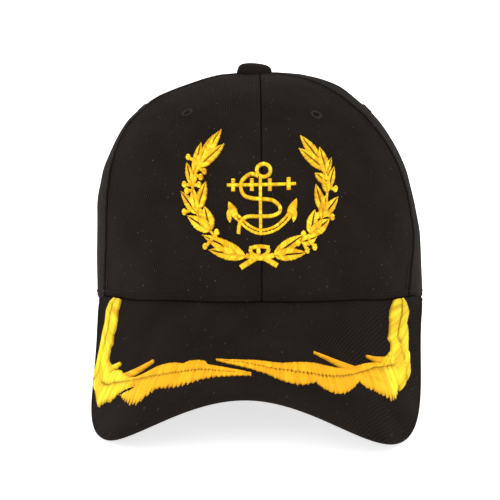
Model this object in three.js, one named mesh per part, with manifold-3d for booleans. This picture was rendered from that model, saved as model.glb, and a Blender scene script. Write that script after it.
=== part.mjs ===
// A six-panel cotton cap with a curved visor, a gold laurel wreath and anchor on its front, and oak-leaf
// branches on its visor. It stands on a level surface on its visor's two corners and its back strap.
// Millimetres, +Z up. The cap's own frame has the hem in the plane Z = 0 and the front towards -Y. The last
// lines lean it back until it stands, and put the origin under the middle of its box.
import * as THREE from "three";
import { mergeVertices } from "three/addons/utils/BufferGeometryUtils.js";
import Module from "manifold-3d";

const wasm = await Module();
wasm.setup();

// Crown, measured outside at the hem
const HALF_LENGTH = 101;
const HALF_WIDTH = 86.2;
const CROWN_HEIGHT = 118;
const APEX_BACK = 5;
const WALL = 2;
const GAP = 0.3;
const HEM_LIFT = 15.4;
const PANEL_FLATNESS = 0.22;

// Visor: plan outline, slope away from the forehead, and the bend across it
const VISOR_HALF_WIDTH = 80.4;
const VISOR_REACH = 55.8;
const VISOR_SHOULDER = 61.2;
const VISOR_SIDE_ROUNDNESS = 3.27;
const VISOR_FRONT_ROUNDNESS = 3.05;
const VISOR_SLOPE_DEG = 31.8;
const VISOR_BEND_RADIUS = 67.6;
const VISOR_RISE = 17.2;
const VISOR_SWING_DEG = 3.8;
const VISOR_SHIFT = 3;
const VISOR_BLEND = 0.3;
const VISOR_THICKNESS = 3;
const VISOR_EDGE_ROUNDING = 0.7;
const VISOR_GAP = 0.5;

// Button and eyelets
const BUTTON_RADIUS = 9;
const BUTTON_HEIGHT = 4.8;
const BUTTON_PIN_RADIUS = 1.5;
const BUTTON_SHIFT = -2.7;
const EYELET_RADIUS = 3.2;
const EYELET_HOLE_RADIUS = 1.2;
const EYELET_STAND = 0.5;

// Sweatband, back arch and strap
const SWEATBAND_THICKNESS = 1.2;
const SWEATBAND_TOP = 0.25;
const SWEATBAND_BOTTOM = 0.012;
const LINING_GAP = 0.7;
const ARCH_HALF_WIDTH = 42;
const ARCH_HEIGHT = 56;
const STRAP_HEIGHT = 22;
const STRAP_THICKNESS = 1.6;
const STRAP_TUCK = 13;
const REST_HALF_ANGLE = 18;
const REST_FADE_ANGLE = 32;

// Embroidery
const EMBLEM_WIDTH = 80;
const THREAD_GAP = 0.4;
const THREAD_PILE = 0.9;
const THREAD_TOLERANCE = 0.06;

const BLACK_TWILL = { color: 0x1b1715, roughness: 0.92, metalness: 0 };
const BLACK_LINING = { color: 0x14110f, roughness: 0.95, metalness: 0 };
const GOLD_THREAD = { color: 0xffb91e, roughness: 0.45, metalness: 0 };

// Sections of the crown from the hem to the top. height is a share of the height above the hem; left, right,
// front and back are shares of the half width and half length; the last two are the side seams' angles from
// the front, in degrees.
const SECTIONS = [
  { height: 0.0, left: 1.0, right: 1.0, front: 1.0, back: 1.0, seamLeft: 67, seamRight: 59.5 },
  { height: 0.13, left: 1.008, right: 0.996, front: 0.995, back: 0.99, seamLeft: 65, seamRight: 62 },
  { height: 0.27, left: 1.013, right: 0.994, front: 0.98, back: 0.955, seamLeft: 63.5, seamRight: 64.5 },
  { height: 0.41, left: 1.019, right: 0.97, front: 0.95, back: 0.905, seamLeft: 63, seamRight: 64.5 },
  { height: 0.55, left: 0.991, right: 0.928, front: 0.9, back: 0.835, seamLeft: 64.5, seamRight: 63.5 },
  { height: 0.68, left: 0.913, right: 0.844, front: 0.83, back: 0.745, seamLeft: 69, seamRight: 62.5 },
  { height: 0.79, left: 0.817, right: 0.737, front: 0.73, back: 0.64, seamLeft: 72, seamRight: 60.5 },
  { height: 0.88, left: 0.675, right: 0.61, front: 0.6, back: 0.51, seamLeft: 73, seamRight: 58 },
  { height: 0.945, left: 0.467, right: 0.485, front: 0.43, back: 0.365, seamLeft: 73, seamRight: 56 },
  { height: 0.985, left: 0.266, right: 0.285, front: 0.23, back: 0.2, seamLeft: 73, seamRight: 56 },
  { height: 1.0, left: 0.0, right: 0.0, front: 0.0, back: 0.0, seamLeft: 73, seamRight: 56 },
];

// Soft dents and swells of the crown: angle from the front in degrees, share of the way up, spreads in the
// same units, and depth inwards as a share of the half width.
const DENTS = [
  { angle: -74, up: 0.655, acrossSpread: 16, upSpread: 0.035, depth: 0.012 },
  { angle: -72, up: 0.735, acrossSpread: 14, upSpread: 0.03, depth: -0.013 },
  { angle: 66, up: 0.8, acrossSpread: 13, upSpread: 0.06, depth: 0.012 },
  { angle: 12, up: 0.6, acrossSpread: 9, upSpread: 0.12, depth: 0.006 },
  { angle: -16, up: 0.66, acrossSpread: 9, upSpread: 0.1, depth: 0.006 },
  { angle: 158, up: 0.72, acrossSpread: 15, upSpread: 0.08, depth: 0.012 },
  { angle: -146, up: 0.62, acrossSpread: 14, upSpread: 0.08, depth: 0.01 },
];

// The hem's rise towards the front: angle from the front, and share of HEM_LIFT.
const HEM_CURVE = [
  { angle: 0, lift: 1 },
  { angle: 30, lift: 0.88 },
  { angle: 45, lift: 0.7 },
  { angle: 62, lift: 0.54 },
  { angle: 78, lift: 0.185 },
  { angle: 95, lift: 0 },
  { angle: 180, lift: 0 },
];

// Eyelets: angle from the front and share of the way up, one on each panel.
const EYELETS = [
  { name: "front_left", angle: -38.3, up: 0.651 },
  { name: "front_right", angle: 28.4, up: 0.642 },
  { name: "side_left", angle: -96, up: 0.65 },
  { name: "side_right", angle: 91, up: 0.65 },
  { name: "back_left", angle: -150, up: 0.65 },
  { name: "back_right", angle: 150, up: 0.65 },
];

// Wreath leaves in hundredths of the emblem's width: across from the centre seam, and up the cloth from the
// hem. Each leaf runs from the stem to its tip.
const LEFT_STEM = [[-9, 27], [-20, 32], [-31, 41.5], [-40, 52.5], [-43, 68], [-41.5, 76], [-36, 88]];
const LEFT_LEAVES = [
  { from: [-9.3, 27.9], to: [-36.3, 39.3], wide: 6.5 },
  { from: [-9.4, 26.5], to: [-32.1, 30.6], wide: 6.5 },
  { from: [-30.9, 41.3], to: [-46.1, 50.3], wide: 6.5 },
  { from: [-30.5, 42.6], to: [-34.9, 56.1], wide: 6.5 },
  { from: [-31.5, 42.0], to: [-40.1, 52.1], wide: 4.6 },
  { from: [-39.7, 51.8], to: [-50.6, 64.7], wide: 5.4 },
  { from: [-40.1, 51.8], to: [-42.9, 67.1], wide: 4.6 },
  { from: [-39.4, 53.1], to: [-34.2, 71.0], wide: 5.4 },
  { from: [-43.6, 67.7], to: [-46.9, 82.8], wide: 4.6 },
  { from: [-42.5, 68.4], to: [-41.5, 80.9], wide: 4 },
  { from: [-42.2, 75.0], to: [-37.6, 96.3], wide: 5.4 },
  { from: [-40.9, 77.1], to: [-34.0, 93.7], wide: 4.6 },
  { from: [-37.4, 81.6], to: [-24.7, 106.7], wide: 5.8 },
  { from: [-39.0, 77.8], to: [-22.8, 95.7], wide: 5.8 },
  { from: [-36.5, 84.9], to: [-29.7, 102.1], wide: 4 },
];
const LEFT_BERRIES = [
  [-34.3, 32.6], [-27.1, 41.1], [-48.1, 52.5], [-37.3, 52.5], [-48.3, 69.1],
  [-38.5, 69.1], [-46.7, 65.2], [-45.9, 86.3], [-37.6, 73.9], [-35.2, 77.4],
];
const RIGHT_STEM = [[7, 27.5], [17, 31.5], [29.5, 39.5], [37.5, 49.5], [41.5, 65], [41, 76], [35.5, 86]];
const RIGHT_LEAVES = [
  { from: [6.6, 28.4], to: [24.9, 39.5], wide: 6.5 },
  { from: [6.8, 26.7], to: [26.7, 29.0], wide: 6.4 },
  { from: [26.1, 31.8], to: [33.6, 38.0], wide: 5.8 },
  { from: [30.5, 39.0], to: [42.0, 48.1], wide: 6.5 },
  { from: [27.8, 40.9], to: [32.7, 54.1], wide: 6.3 },
  { from: [29.5, 38.8], to: [37.3, 47.9], wide: 4.6 },
  { from: [38.4, 48.5], to: [48.5, 61.2], wide: 5.4 },
  { from: [37.0, 47.9], to: [40.3, 62.5], wide: 5.4 },
  { from: [37.1, 52.4], to: [33.6, 69.3], wide: 5.4 },
  { from: [44.1, 64.9], to: [46.5, 79.9], wide: 4.6 },
  { from: [45.0, 77.0], to: [44.7, 85.7], wide: 3.4 },
  { from: [42.2, 74.3], to: [36.7, 92.7], wide: 5.8 },
  { from: [35.2, 82.1], to: [24.4, 101.9], wide: 5.8 },
  { from: [37.4, 76.4], to: [23.2, 92.5], wide: 5.8 },
  { from: [39.1, 70.3], to: [33.0, 76.2], wide: 4.6 },
  { from: [40.0, 64.5], to: [39.2, 76.9], wide: 4.6 },
];
const RIGHT_BERRIES = [
  [27.6, 30.3], [32.4, 32.1], [25.4, 40.1], [44.3, 49.3], [34.6, 50.5], [47.2, 66.1], [21.8, 34.8],
];
const BERRY_WIDE = 3.4;
const STALK_WIDE = 1.4;
const STEM_WIDE = 1.8;
const STROKE_STEP = 3.6;

// Bow and anchor strokes in the same hundredths.
const BOW_STROKES = [
  { points: [[-7.4, 31.8], [-1.6, 32.9], [4.6, 32.2]], wide: 2.6 },
  { points: [[-6.8, 31.6], [-6, 28.8], [-2.4, 26.9]], wide: 2.6 },
  { points: [[4, 31.8], [3, 28.8], [-0.4, 26.9]], wide: 2.6 },
  { points: [[-2.1, 32.4], [-1.8, 25.2]], wide: 2.6 },
  { points: [[-4.8, 27.2], [-1.6, 25.9], [2, 27.2]], wide: 3.2 },
  { points: [[-2, 27], [-7, 24], [-12.6, 20.6]], wide: 3.6 },
  { points: [[-0.8, 27], [4, 24.6], [9.2, 21.6]], wide: 3.6 },
];
const ANCHOR_STROKES = [
  { points: [[-0.8, 75.5], [-0.8, 58], [-0.7, 39.5]], wide: 2.1 },
  { points: [[-21, 69.2], [0, 69.6], [20.8, 70]], wide: 2.1 },
  { points: [[-17.1, 65.4], [-17.1, 73]], wide: 2.6 },
  { points: [[-5.8, 65.8], [-5.8, 73.4]], wide: 2.6 },
  { points: [[4.9, 65.7], [4.9, 73.3]], wide: 2.6 },
  { points: [[16.3, 66.2], [16.3, 73.8]], wide: 2.8 },
  { points: [[-16.6, 52], [-12.6, 48.4], [-7.4, 44], [-0.6, 41.4], [8, 43.6], [15, 49.4], [17.4, 53]], wide: 4 },
];
const ANCHOR_FLUKES = [
  { from: [-15.2, 49.4], to: [-19.8, 59.1], wide: 6.2 },
  { from: [-20, 54.4], to: [-19, 46.6], wide: 3.2 },
  { from: [16, 49.6], to: [21.1, 60.9], wide: 6.2 },
  { from: [20.3, 54.6], to: [18.9, 46.9], wide: 3.2 },
];
const ANCHOR_RING = { centre: [1.2, 78.6], radius: 4.1, wide: 2.5 };
const ROPE_STROKES = [
  {
    points: [
      [-1.6, 74.6], [-6.4, 76.2], [-11.2, 72.6], [-12.5, 68.2], [-10.6, 63.2], [-5.8, 61.3], [0, 60.8],
      [6.4, 60], [10.4, 56.6], [10.6, 53.2], [6.3, 50.9], [-1.1, 50.5], [-8.8, 50.3], [-12.9, 46.6], [-13.9, 40.2],
    ],
    wide: 2.4,
  },
];

// Visor branches. along runs round the visor's edge from its left end, 0, to its right end, 1, and out runs
// from the hem, 0, to the edge, 1. A front band has its back and front rims at each station along the edge,
// and a side band has its two rims at each station out from the hem.
const LEFT_FRONT_BAND = [
  { along: 0.098, back: 0.6, front: 0.7 },
  { along: 0.112, back: 0.58, front: 0.86 },
  { along: 0.134, back: 0.57, front: 0.93 },
  { along: 0.166, back: 0.565, front: 0.89 },
  { along: 0.2, back: 0.552, front: 0.89 },
  { along: 0.21, back: 0.535, front: 0.84 },
  { along: 0.22, back: 0.526, front: 0.795 },
  { along: 0.235, back: 0.535, front: 0.78 },
  { along: 0.252, back: 0.543, front: 0.692 },
  { along: 0.265, back: 0.549, front: 0.72 },
  { along: 0.279, back: 0.546, front: 0.745 },
  { along: 0.296, back: 0.531, front: 0.78 },
  { along: 0.314, back: 0.508, front: 0.79 },
  { along: 0.325, back: 0.497, front: 0.747 },
  { along: 0.34, back: 0.5, front: 0.704 },
  { along: 0.356, back: 0.514, front: 0.73 },
  { along: 0.373, back: 0.547, front: 0.753 },
  { along: 0.382, back: 0.537, front: 0.762 },
  { along: 0.399, back: 0.553, front: 0.767 },
  { along: 0.412, back: 0.584, front: 0.76 },
  { along: 0.417, back: 0.622, front: 0.762 },
  { along: 0.434, back: 0.66, front: 0.767 },
  { along: 0.455, back: 0.703, front: 0.779 },
  { along: 0.485, back: 0.755, front: 0.785 },
];
const LEFT_SIDE_BAND = [
  { out: 0.012, outer: 0.066, inner: 0.108 },
  { out: 0.1, outer: 0.059, inner: 0.114 },
  { out: 0.17, outer: 0.058, inner: 0.117 },
  { out: 0.25, outer: 0.059, inner: 0.13 },
  { out: 0.33, outer: 0.06, inner: 0.139 },
  { out: 0.4, outer: 0.063, inner: 0.14 },
  { out: 0.45, outer: 0.071, inner: 0.152 },
  { out: 0.5, outer: 0.079, inner: 0.148 },
  { out: 0.55, outer: 0.081, inner: 0.155 },
  { out: 0.63, outer: 0.086, inner: 0.165 },
  { out: 0.73, outer: 0.096, inner: 0.175 },
  { out: 0.82, outer: 0.106, inner: 0.18 },
  { out: 0.9, outer: 0.114, inner: 0.15 },
];
const LEFT_SPIKES = [
  { from: [0.235, 0.56], to: [0.308, 0.455], wide: 0.055 },
  { from: [0.17, 0.575], to: [0.211, 0.492], wide: 0.055 },
];
const RIGHT_FRONT_BAND = [
  { along: 0.429, back: 0.594, front: 0.603 },
  { along: 0.45, back: 0.616, front: 0.655 },
  { along: 0.472, back: 0.629, front: 0.698 },
  { along: 0.493, back: 0.629, front: 0.735 },
  { along: 0.507, back: 0.631, front: 0.753 },
  { along: 0.519, back: 0.63, front: 0.779 },
  { along: 0.532, back: 0.622, front: 0.798 },
  { along: 0.551, back: 0.588, front: 0.796 },
  { along: 0.566, back: 0.563, front: 0.767 },
  { along: 0.581, back: 0.543, front: 0.716 },
  { along: 0.591, back: 0.537, front: 0.748 },
  { along: 0.607, back: 0.53, front: 0.761 },
  { along: 0.626, back: 0.523, front: 0.727 },
  { along: 0.644, back: 0.503, front: 0.662 },
  { along: 0.662, back: 0.476, front: 0.591 },
  { along: 0.673, back: 0.461, front: 0.632 },
  { along: 0.691, back: 0.444, front: 0.657 },
  { along: 0.709, back: 0.443, front: 0.698 },
  { along: 0.722, back: 0.448, front: 0.732 },
  { along: 0.738, back: 0.44, front: 0.736 },
  { along: 0.755, back: 0.43, front: 0.69 },
  { along: 0.769, back: 0.42, front: 0.644 },
  { along: 0.785, back: 0.41, front: 0.7 },
  { along: 0.804, back: 0.42, front: 0.706 },
  { along: 0.825, back: 0.43, front: 0.7 },
  { along: 0.838, back: 0.5, front: 0.63 },
];
const RIGHT_SIDE_BAND = [
  { out: 0.012, outer: 0.897, inner: 0.853 },
  { out: 0.06, outer: 0.9, inner: 0.84 },
  { out: 0.12, outer: 0.904, inner: 0.822 },
  { out: 0.23, outer: 0.903, inner: 0.803 },
  { out: 0.3, outer: 0.901, inner: 0.79 },
  { out: 0.335, outer: 0.893, inner: 0.778 },
  { out: 0.38, outer: 0.872, inner: 0.783 },
  { out: 0.42, outer: 0.872, inner: 0.773 },
  { out: 0.48, outer: 0.864, inner: 0.765 },
  { out: 0.52, outer: 0.853, inner: 0.765 },
  { out: 0.57, outer: 0.839, inner: 0.76 },
  { out: 0.63, outer: 0.833, inner: 0.755 },
  { out: 0.7, outer: 0.822, inner: 0.755 },
];
const RIGHT_SPIKES = [
  { from: [0.675, 0.5], to: [0.588, 0.45], wide: 0.055 },
  { from: [0.77, 0.47], to: [0.7, 0.403], wide: 0.05 },
];

const radians = THREE.MathUtils.degToRad;
const smoothstep = THREE.MathUtils.smoothstep;
const lerp = THREE.MathUtils.lerp;

// Tables

// Value of a table's column at a place between its rows, on a smooth curve that never overshoots them.
function between(places, values, place) {
  const last = places.length - 1;
  if (place <= places[0]) return values[0];
  if (place >= places[last]) return values[last];
  let i = 0;
  while (place > places[i + 1]) i += 1;
  const rise = (j) => (values[j + 1] - values[j]) / (places[j + 1] - places[j]);
  const slope = (j) => {
    if (j === 0) return rise(0);
    if (j === last) return rise(last - 1);
    if (rise(j - 1) * rise(j) <= 0) return 0;
    const before = places[j] - places[j - 1];
    const after = places[j + 1] - places[j];
    return (3 * (before + after)) / ((2 * after + before) / rise(j - 1) + (after + 2 * before) / rise(j));
  };
  const span = places[i + 1] - places[i];
  const t = (place - places[i]) / span;
  const hold = (1 + 2 * t) * (1 - t) * (1 - t);
  const lead = t * (1 - t) * (1 - t) * span;
  const trail = t * t * (t - 1) * span;
  return values[i] * hold + slope(i) * lead + values[i + 1] * (1 - hold) + slope(i + 1) * trail;
}

const column = (table, key) => table.map((row) => row[key]);
const sectionShares = SECTIONS.map((row, i) => i / (SECTIONS.length - 1));
const sectionColumns = Object.fromEntries(Object.keys(SECTIONS[0]).map((key) => [key, column(SECTIONS, key)]));
const section = (key, share) => between(sectionShares, sectionColumns[key], share);
const hemAngles = column(HEM_CURVE, "angle");
const hemLifts = column(HEM_CURVE, "lift");

// Surfaces of the crown and the visor

// Angle from the front in degrees, from -180 at the back round the left side to 180.
const degreesFromFront = (angle) => THREE.MathUtils.radToDeg(Math.atan2(Math.sin(angle), Math.cos(angle)));

let lean = 0;

// Height of the standing surface in the cap's own frame: it slopes, because the cap leans back.
const surfaceHeight = (y) => -(HALF_LENGTH - y) * Math.tan(lean);

function hemHeight(angle, y) {
  const degrees = Math.abs(degreesFromFront(angle));
  const own = HEM_LIFT * between(hemAngles, hemLifts, degrees);
  const resting = 1 - smoothstep(180 - degrees, REST_HALF_ANGLE, REST_FADE_ANGLE);
  return lerp(own, surfaceHeight(y), resting);
}

// The six seams at a height, by angle from the front, and the share by which a panel lies flatter than a round.
const seamsAt = (up) => [-180, -120, -section("seamLeft", up), 0, section("seamRight", up), 120, 180];

function panelFlatness(degrees, up) {
  const seams = seamsAt(up);
  const i = Math.min(Math.max(seams.findIndex((seam) => degrees <= seam) - 1, 0), seams.length - 2);
  const halfPanel = 30;
  const turn = ((degrees - seams[i]) / (seams[i + 1] - seams[i]) - 0.5) * 2 * halfPanel;
  return PANEL_FLATNESS * (1 - Math.cos(radians(halfPanel)) / Math.cos(radians(turn)));
}

function dentDepth(degrees, up) {
  return DENTS.reduce((depth, dent) => {
    const across = (((degrees - dent.angle + 540) % 360) - 180) / dent.acrossSpread;
    const along = (up - dent.up) / dent.upSpread;
    return depth + dent.depth * Math.exp(-(across * across + along * along));
  }, 0);
}

// Share of the hem's half sizes that the crown has at an angle and a share of the way up.
function crownShare(angle, up) {
  const side = section(Math.sin(angle) > 0 ? "right" : "left", up);
  const end = section(Math.cos(angle) > 0 ? "front" : "back", up);
  const forward = Math.cos(angle) ** 2;
  const round = side * (1 - forward) + end * forward;
  const degrees = degreesFromFront(angle);
  const flat = panelFlatness(degrees, up) * Math.min(section("height", up) * 2, 1);
  return round * (1 - flat) - dentDepth(degrees, up) * Math.min(round * 2, 1);
}

// Point on the crown, inset from its outer face; a negative inset stands proud of it.
function crownPoint(angle, up, inset = 0) {
  const share = crownShare(angle, up);
  const y = -(HALF_LENGTH - inset) * Math.cos(angle) * share + APEX_BACK * (1 - share);
  const hem = hemHeight(angle, y);
  return new THREE.Vector3(
    (HALF_WIDTH - inset) * Math.sin(angle) * share,
    y,
    hem + (CROWN_HEIGHT - inset - hem) * section("height", up),
  );
}

// Unit normal of a surface that is a function of two values, from two short steps along it.
function normalOf(surface, first, second, step = 1e-3) {
  const alongFirst = surface(first + step, second).sub(surface(first - step, second));
  const alongSecond = surface(first, second + step).sub(surface(first, second - step));
  return alongFirst.cross(alongSecond).normalize();
}

// The curve that the visor follows clear of the hem: a slope, bent across.
function visorCurve(x, y, settled) {
  const turn = radians(VISOR_SWING_DEG) * settled;
  const across = x * Math.cos(turn) - y * Math.sin(turn) - VISOR_SHIFT * settled;
  const along = x * Math.sin(turn) + y * Math.cos(turn);
  const slope = radians(VISOR_SLOPE_DEG);
  const bend = (across * across) / (2 * VISOR_BEND_RADIUS * Math.cos(slope));
  return VISOR_RISE + Math.tan(slope) * (HALF_LENGTH + along) - bend;
}

// The visor lies flat under the crown's wall, leaves along the hem and settles onto its own curve a little way out.
function visorHeight(x, y) {
  const share = Math.hypot(x / HALF_WIDTH, y / HALF_LENGTH);
  const settled = smoothstep(share, 1, 1 + VISOR_BLEND);
  const hem = hemHeight(Math.atan2(x / HALF_WIDTH, -y / HALF_LENGTH), y);
  if (share < 1) return hem - VISOR_GAP;
  const offset = hem - visorCurve(x / share, y / share, 0);
  return visorCurve(x, y, settled) + offset * (1 - settled) - VISOR_GAP;
}

const rounded = (value, roundness) => Math.sign(value) * Math.abs(value) ** (2 / roundness);

function visorOutline(turn) {
  const x = VISOR_HALF_WIDTH * rounded(Math.sin(turn), VISOR_SIDE_ROUNDNESS);
  const depth = HALF_LENGTH + VISOR_REACH - VISOR_SHOULDER;
  const y = -(VISOR_SHOULDER + depth * rounded(Math.cos(turn), VISOR_FRONT_ROUNDNESS));
  const swing = radians(-VISOR_SWING_DEG);
  return new THREE.Vector2(
    x * Math.cos(swing) - y * Math.sin(swing) + VISOR_SHIFT,
    x * Math.sin(swing) + y * Math.cos(swing),
  );
}

const hemShare = (plan) => Math.hypot(plan.x / HALF_WIDTH, plan.y / HALF_LENGTH);

// Turn at which the visor's outline meets the hem, on the side of the given sign.
function outlineEnd(sign) {
  let outside = radians(75);
  let inside = radians(120);
  for (let i = 0; i < 40; i += 1) {
    const middle = (outside + inside) / 2;
    if (hemShare(visorOutline(sign * middle)) > 1) outside = middle;
    else inside = middle;
  }
  return sign * outside;
}

const OUTLINE_STEPS = 400;
const outlineTurns = Array.from({ length: OUTLINE_STEPS + 1 }, (_, i) =>
  lerp(outlineEnd(-1), outlineEnd(1), i / OUTLINE_STEPS),
);
const outlineLengths = outlineTurns.reduce((lengths, turn, i) => {
  const step = i === 0 ? 0 : visorOutline(turn).distanceTo(visorOutline(outlineTurns[i - 1]));
  return [...lengths, (lengths[i - 1] ?? 0) + step];
}, []);
const hemAngleOf = (plan) => Math.atan2(plan.x / HALF_WIDTH, -plan.y / HALF_LENGTH);
const visorHemLeft = hemAngleOf(visorOutline(outlineTurns[0]));
const visorHemRight = hemAngleOf(visorOutline(outlineTurns[OUTLINE_STEPS]));

// Plan of the visor: along its edge from the left end to the right, and out from the hem to the edge.
function visorPlan(along, out, inset = 0) {
  const wanted = along * outlineLengths[OUTLINE_STEPS];
  const edge = visorOutline(between(outlineLengths, outlineTurns, wanted));
  const angle = lerp(visorHemLeft, visorHemRight, along);
  const hem = new THREE.Vector2(
    (HALF_WIDTH - inset) * Math.sin(angle),
    -(HALF_LENGTH - inset) * Math.cos(angle),
  );
  return hem.lerp(edge, out);
}

function visorPoint(along, out, inset = 0) {
  const plan = visorPlan(along, out, inset);
  return new THREE.Vector3(plan.x, plan.y, visorHeight(plan.x, plan.y));
}

// Cloth coordinates for the embroidery on the crown: millimetres across from the centre seam and up from the hem.
const CLOTH_STEPS = 200;
const clothShares = Array.from({ length: CLOTH_STEPS + 1 }, (_, i) => i / CLOTH_STEPS);
const clothHeights = clothShares.reduce((heights, share, i) => {
  const step = i === 0 ? 0 : crownPoint(0, share).distanceTo(crownPoint(0, clothShares[i - 1]));
  return [...heights, (heights[i - 1] ?? 0) + step];
}, []);

function crownCloth(across, up, lift) {
  const share = between(clothHeights, clothShares, up);
  return crownPoint(across / (HALF_WIDTH * section("front", share)), share, -lift);
}

function visorCloth(along, out, lift) {
  const normal = normalOf(visorPoint, along, out);
  return visorPoint(along, out).addScaledVector(normal, normal.z < 0 ? -lift : lift);
}

// Solids

function geometryOf(positions, indices) {
  const geometry = new THREE.BufferGeometry();
  geometry.setAttribute("position", new THREE.Float32BufferAttribute(positions, 3));
  geometry.setIndex(indices);
  return geometry;
}

function solidOf(geometry) {
  const plain = geometry.clone();
  plain.deleteAttribute("normal");
  plain.deleteAttribute("uv");
  const merged = mergeVertices(plain, 1e-4);
  const solid = new wasm.Manifold(
    new wasm.Mesh({
      numProp: 3,
      vertProperties: new Float32Array(merged.attributes.position.array),
      triVerts: new Uint32Array(merged.index.array),
    }),
  );
  return solid;
}

function geometryFrom(solid) {
  const mesh = solid.getMesh();
  const positions = [];
  for (let i = 0; i < mesh.numVert; i += 1) {
    positions.push(...mesh.vertProperties.subarray(i * mesh.numProp, i * mesh.numProp + 3));
  }
  return geometryOf(positions, [...mesh.triVerts]);
}

const joined = (solids) => solids.reduce((all, solid) => all.add(solid)).simplify(THREAD_TOLERANCE);

// A closed wall between two faces. Each face is a function of a share across and a share up, and the wall has
// the given shares as its grid lines.
function wall(acrossShares, upShares, face, backFace) {
  const columns = acrossShares.length;
  const rows = upShares.length;
  const points = [face, backFace].flatMap((surface) =>
    acrossShares.flatMap((across) => upShares.map((up) => surface(across, up))),
  );
  const at = (layer, i, j) => layer * columns * rows + i * rows + j;
  const indices = [];
  const quad = (a, b, c, d) => indices.push(a, b, c, a, c, d);
  for (let i = 0; i < columns - 1; i += 1) {
    for (let j = 0; j < rows - 1; j += 1) {
      quad(at(0, i, j), at(0, i + 1, j), at(0, i + 1, j + 1), at(0, i, j + 1));
      quad(at(1, i, j), at(1, i, j + 1), at(1, i + 1, j + 1), at(1, i + 1, j));
    }
  }
  for (let i = 0; i < columns - 1; i += 1) {
    quad(at(0, i, 0), at(1, i, 0), at(1, i + 1, 0), at(0, i + 1, 0));
    quad(at(0, i + 1, rows - 1), at(1, i + 1, rows - 1), at(1, i, rows - 1), at(0, i, rows - 1));
  }
  for (let j = 0; j < rows - 1; j += 1) {
    quad(at(0, 0, j + 1), at(1, 0, j + 1), at(1, 0, j), at(0, 0, j));
    quad(at(0, columns - 1, j), at(1, columns - 1, j), at(1, columns - 1, j + 1), at(0, columns - 1, j + 1));
  }
  const geometry = geometryOf(points.flatMap((point) => point.toArray()), indices);
  return isInsideOut(geometry) ? turnedOut(geometry) : geometry;
}

function isInsideOut(geometry) {
  const position = geometry.attributes.position;
  const corner = (i) => new THREE.Vector3().fromBufferAttribute(position, geometry.index.array[i]);
  let volume = 0;
  for (let i = 0; i < geometry.index.count; i += 3) {
    volume += corner(i).dot(corner(i + 1).cross(corner(i + 2)));
  }
  return volume < 0;
}

function turnedOut(geometry) {
  const indices = [...geometry.index.array];
  for (let i = 0; i < indices.length; i += 3) {
    [indices[i + 1], indices[i + 2]] = [indices[i + 2], indices[i + 1]];
  }
  return geometry.setIndex(indices);
}

const shares = (count) => Array.from({ length: count + 1 }, (_, i) => i / count);

// Pieces of the crown

const PANEL_COLUMNS = 8;
const PANEL_ROWS = 14;

// Share of the way up at which the panels end, so that the button's pin passes between them.
function panelTop() {
  const clear = BUTTON_PIN_RADIUS + 2 * GAP;
  let up = 1;
  const narrowest = () => Math.min(crownShare(0, up), crownShare(Math.PI, up)) * HALF_WIDTH;
  while (narrowest() < clear) up -= 0.001;
  return up;
}

function panel(index) {
  const top = panelTop();
  const surface = (inset) => (across, rise) => {
    const up = rise * top;
    const seams = seamsAt(up);
    const middle = radians((seams[index] + seams[index + 1]) / 2);
    const radius = crownShare(middle, up) * HALF_WIDTH;
    const seamGap = GAP / 2 / radius;
    const angle = lerp(radians(seams[index]) + seamGap, radians(seams[index + 1]) - seamGap, across);
    return crownPoint(angle, up, inset);
  };
  return solidOf(wall(shares(PANEL_COLUMNS), shares(PANEL_ROWS), surface(0), surface(WALL)));
}

function eyeletPlace(eyelet) {
  const surface = (angle, up) => crownPoint(angle, up);
  const angle = radians(eyelet.angle);
  const outward = normalOf(surface, angle, eyelet.up);
  if (outward.dot(crownPoint(angle, eyelet.up).setZ(0)) < 0) outward.negate();
  const turn = new THREE.Quaternion().setFromUnitVectors(new THREE.Vector3(0, 1, 0), outward);
  const centre = crownPoint(angle, eyelet.up).addScaledVector(outward, -WALL / 2);
  return new THREE.Matrix4().compose(centre, turn, new THREE.Vector3(1, 1, 1));
}

const EYELET_SIDES = 14;

function eyeletHole(eyelet) {
  const radius = EYELET_RADIUS + GAP;
  const drill = new THREE.CylinderGeometry(radius, radius, WALL * 6, EYELET_SIDES);
  return solidOf(drill.applyMatrix4(eyeletPlace(eyelet)));
}

function eyeletRing(eyelet) {
  const half = WALL / 2 + EYELET_STAND;
  const soft = EYELET_STAND;
  const profile = [
    [EYELET_HOLE_RADIUS, -half + soft],
    [EYELET_HOLE_RADIUS + soft, -half],
    [EYELET_RADIUS - soft, -half],
    [EYELET_RADIUS, -half + soft],
    [EYELET_RADIUS, half - soft],
    [EYELET_RADIUS - soft, half],
    [EYELET_HOLE_RADIUS + soft, half],
    [EYELET_HOLE_RADIUS, half - soft],
    [EYELET_HOLE_RADIUS, -half + soft],
  ].map(([radius, height]) => new THREE.Vector2(radius, height));
  const ring = new THREE.LatheGeometry(profile, EYELET_SIDES);
  return solidOf(ring.applyMatrix4(eyeletPlace(eyelet)));
}

// The arch above the back strap, as a long prism through the back of the crown.
function archTool() {
  const springing = ARCH_HEIGHT - ARCH_HALF_WIDTH;
  const shape = new THREE.Shape();
  shape.moveTo(-ARCH_HALF_WIDTH, -CROWN_HEIGHT / 2);
  shape.lineTo(ARCH_HALF_WIDTH, -CROWN_HEIGHT / 2);
  shape.lineTo(ARCH_HALF_WIDTH, springing);
  shape.absarc(0, springing, ARCH_HALF_WIDTH, 0, Math.PI);
  shape.closePath();
  const prism = new THREE.ExtrudeGeometry(shape, { depth: HALF_LENGTH, bevelEnabled: false, curveSegments: 20 });
  prism.rotateX(Math.PI / 2);
  prism.translate(0, HALF_LENGTH * 1.4, 0);
  return solidOf(prism);
}

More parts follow.
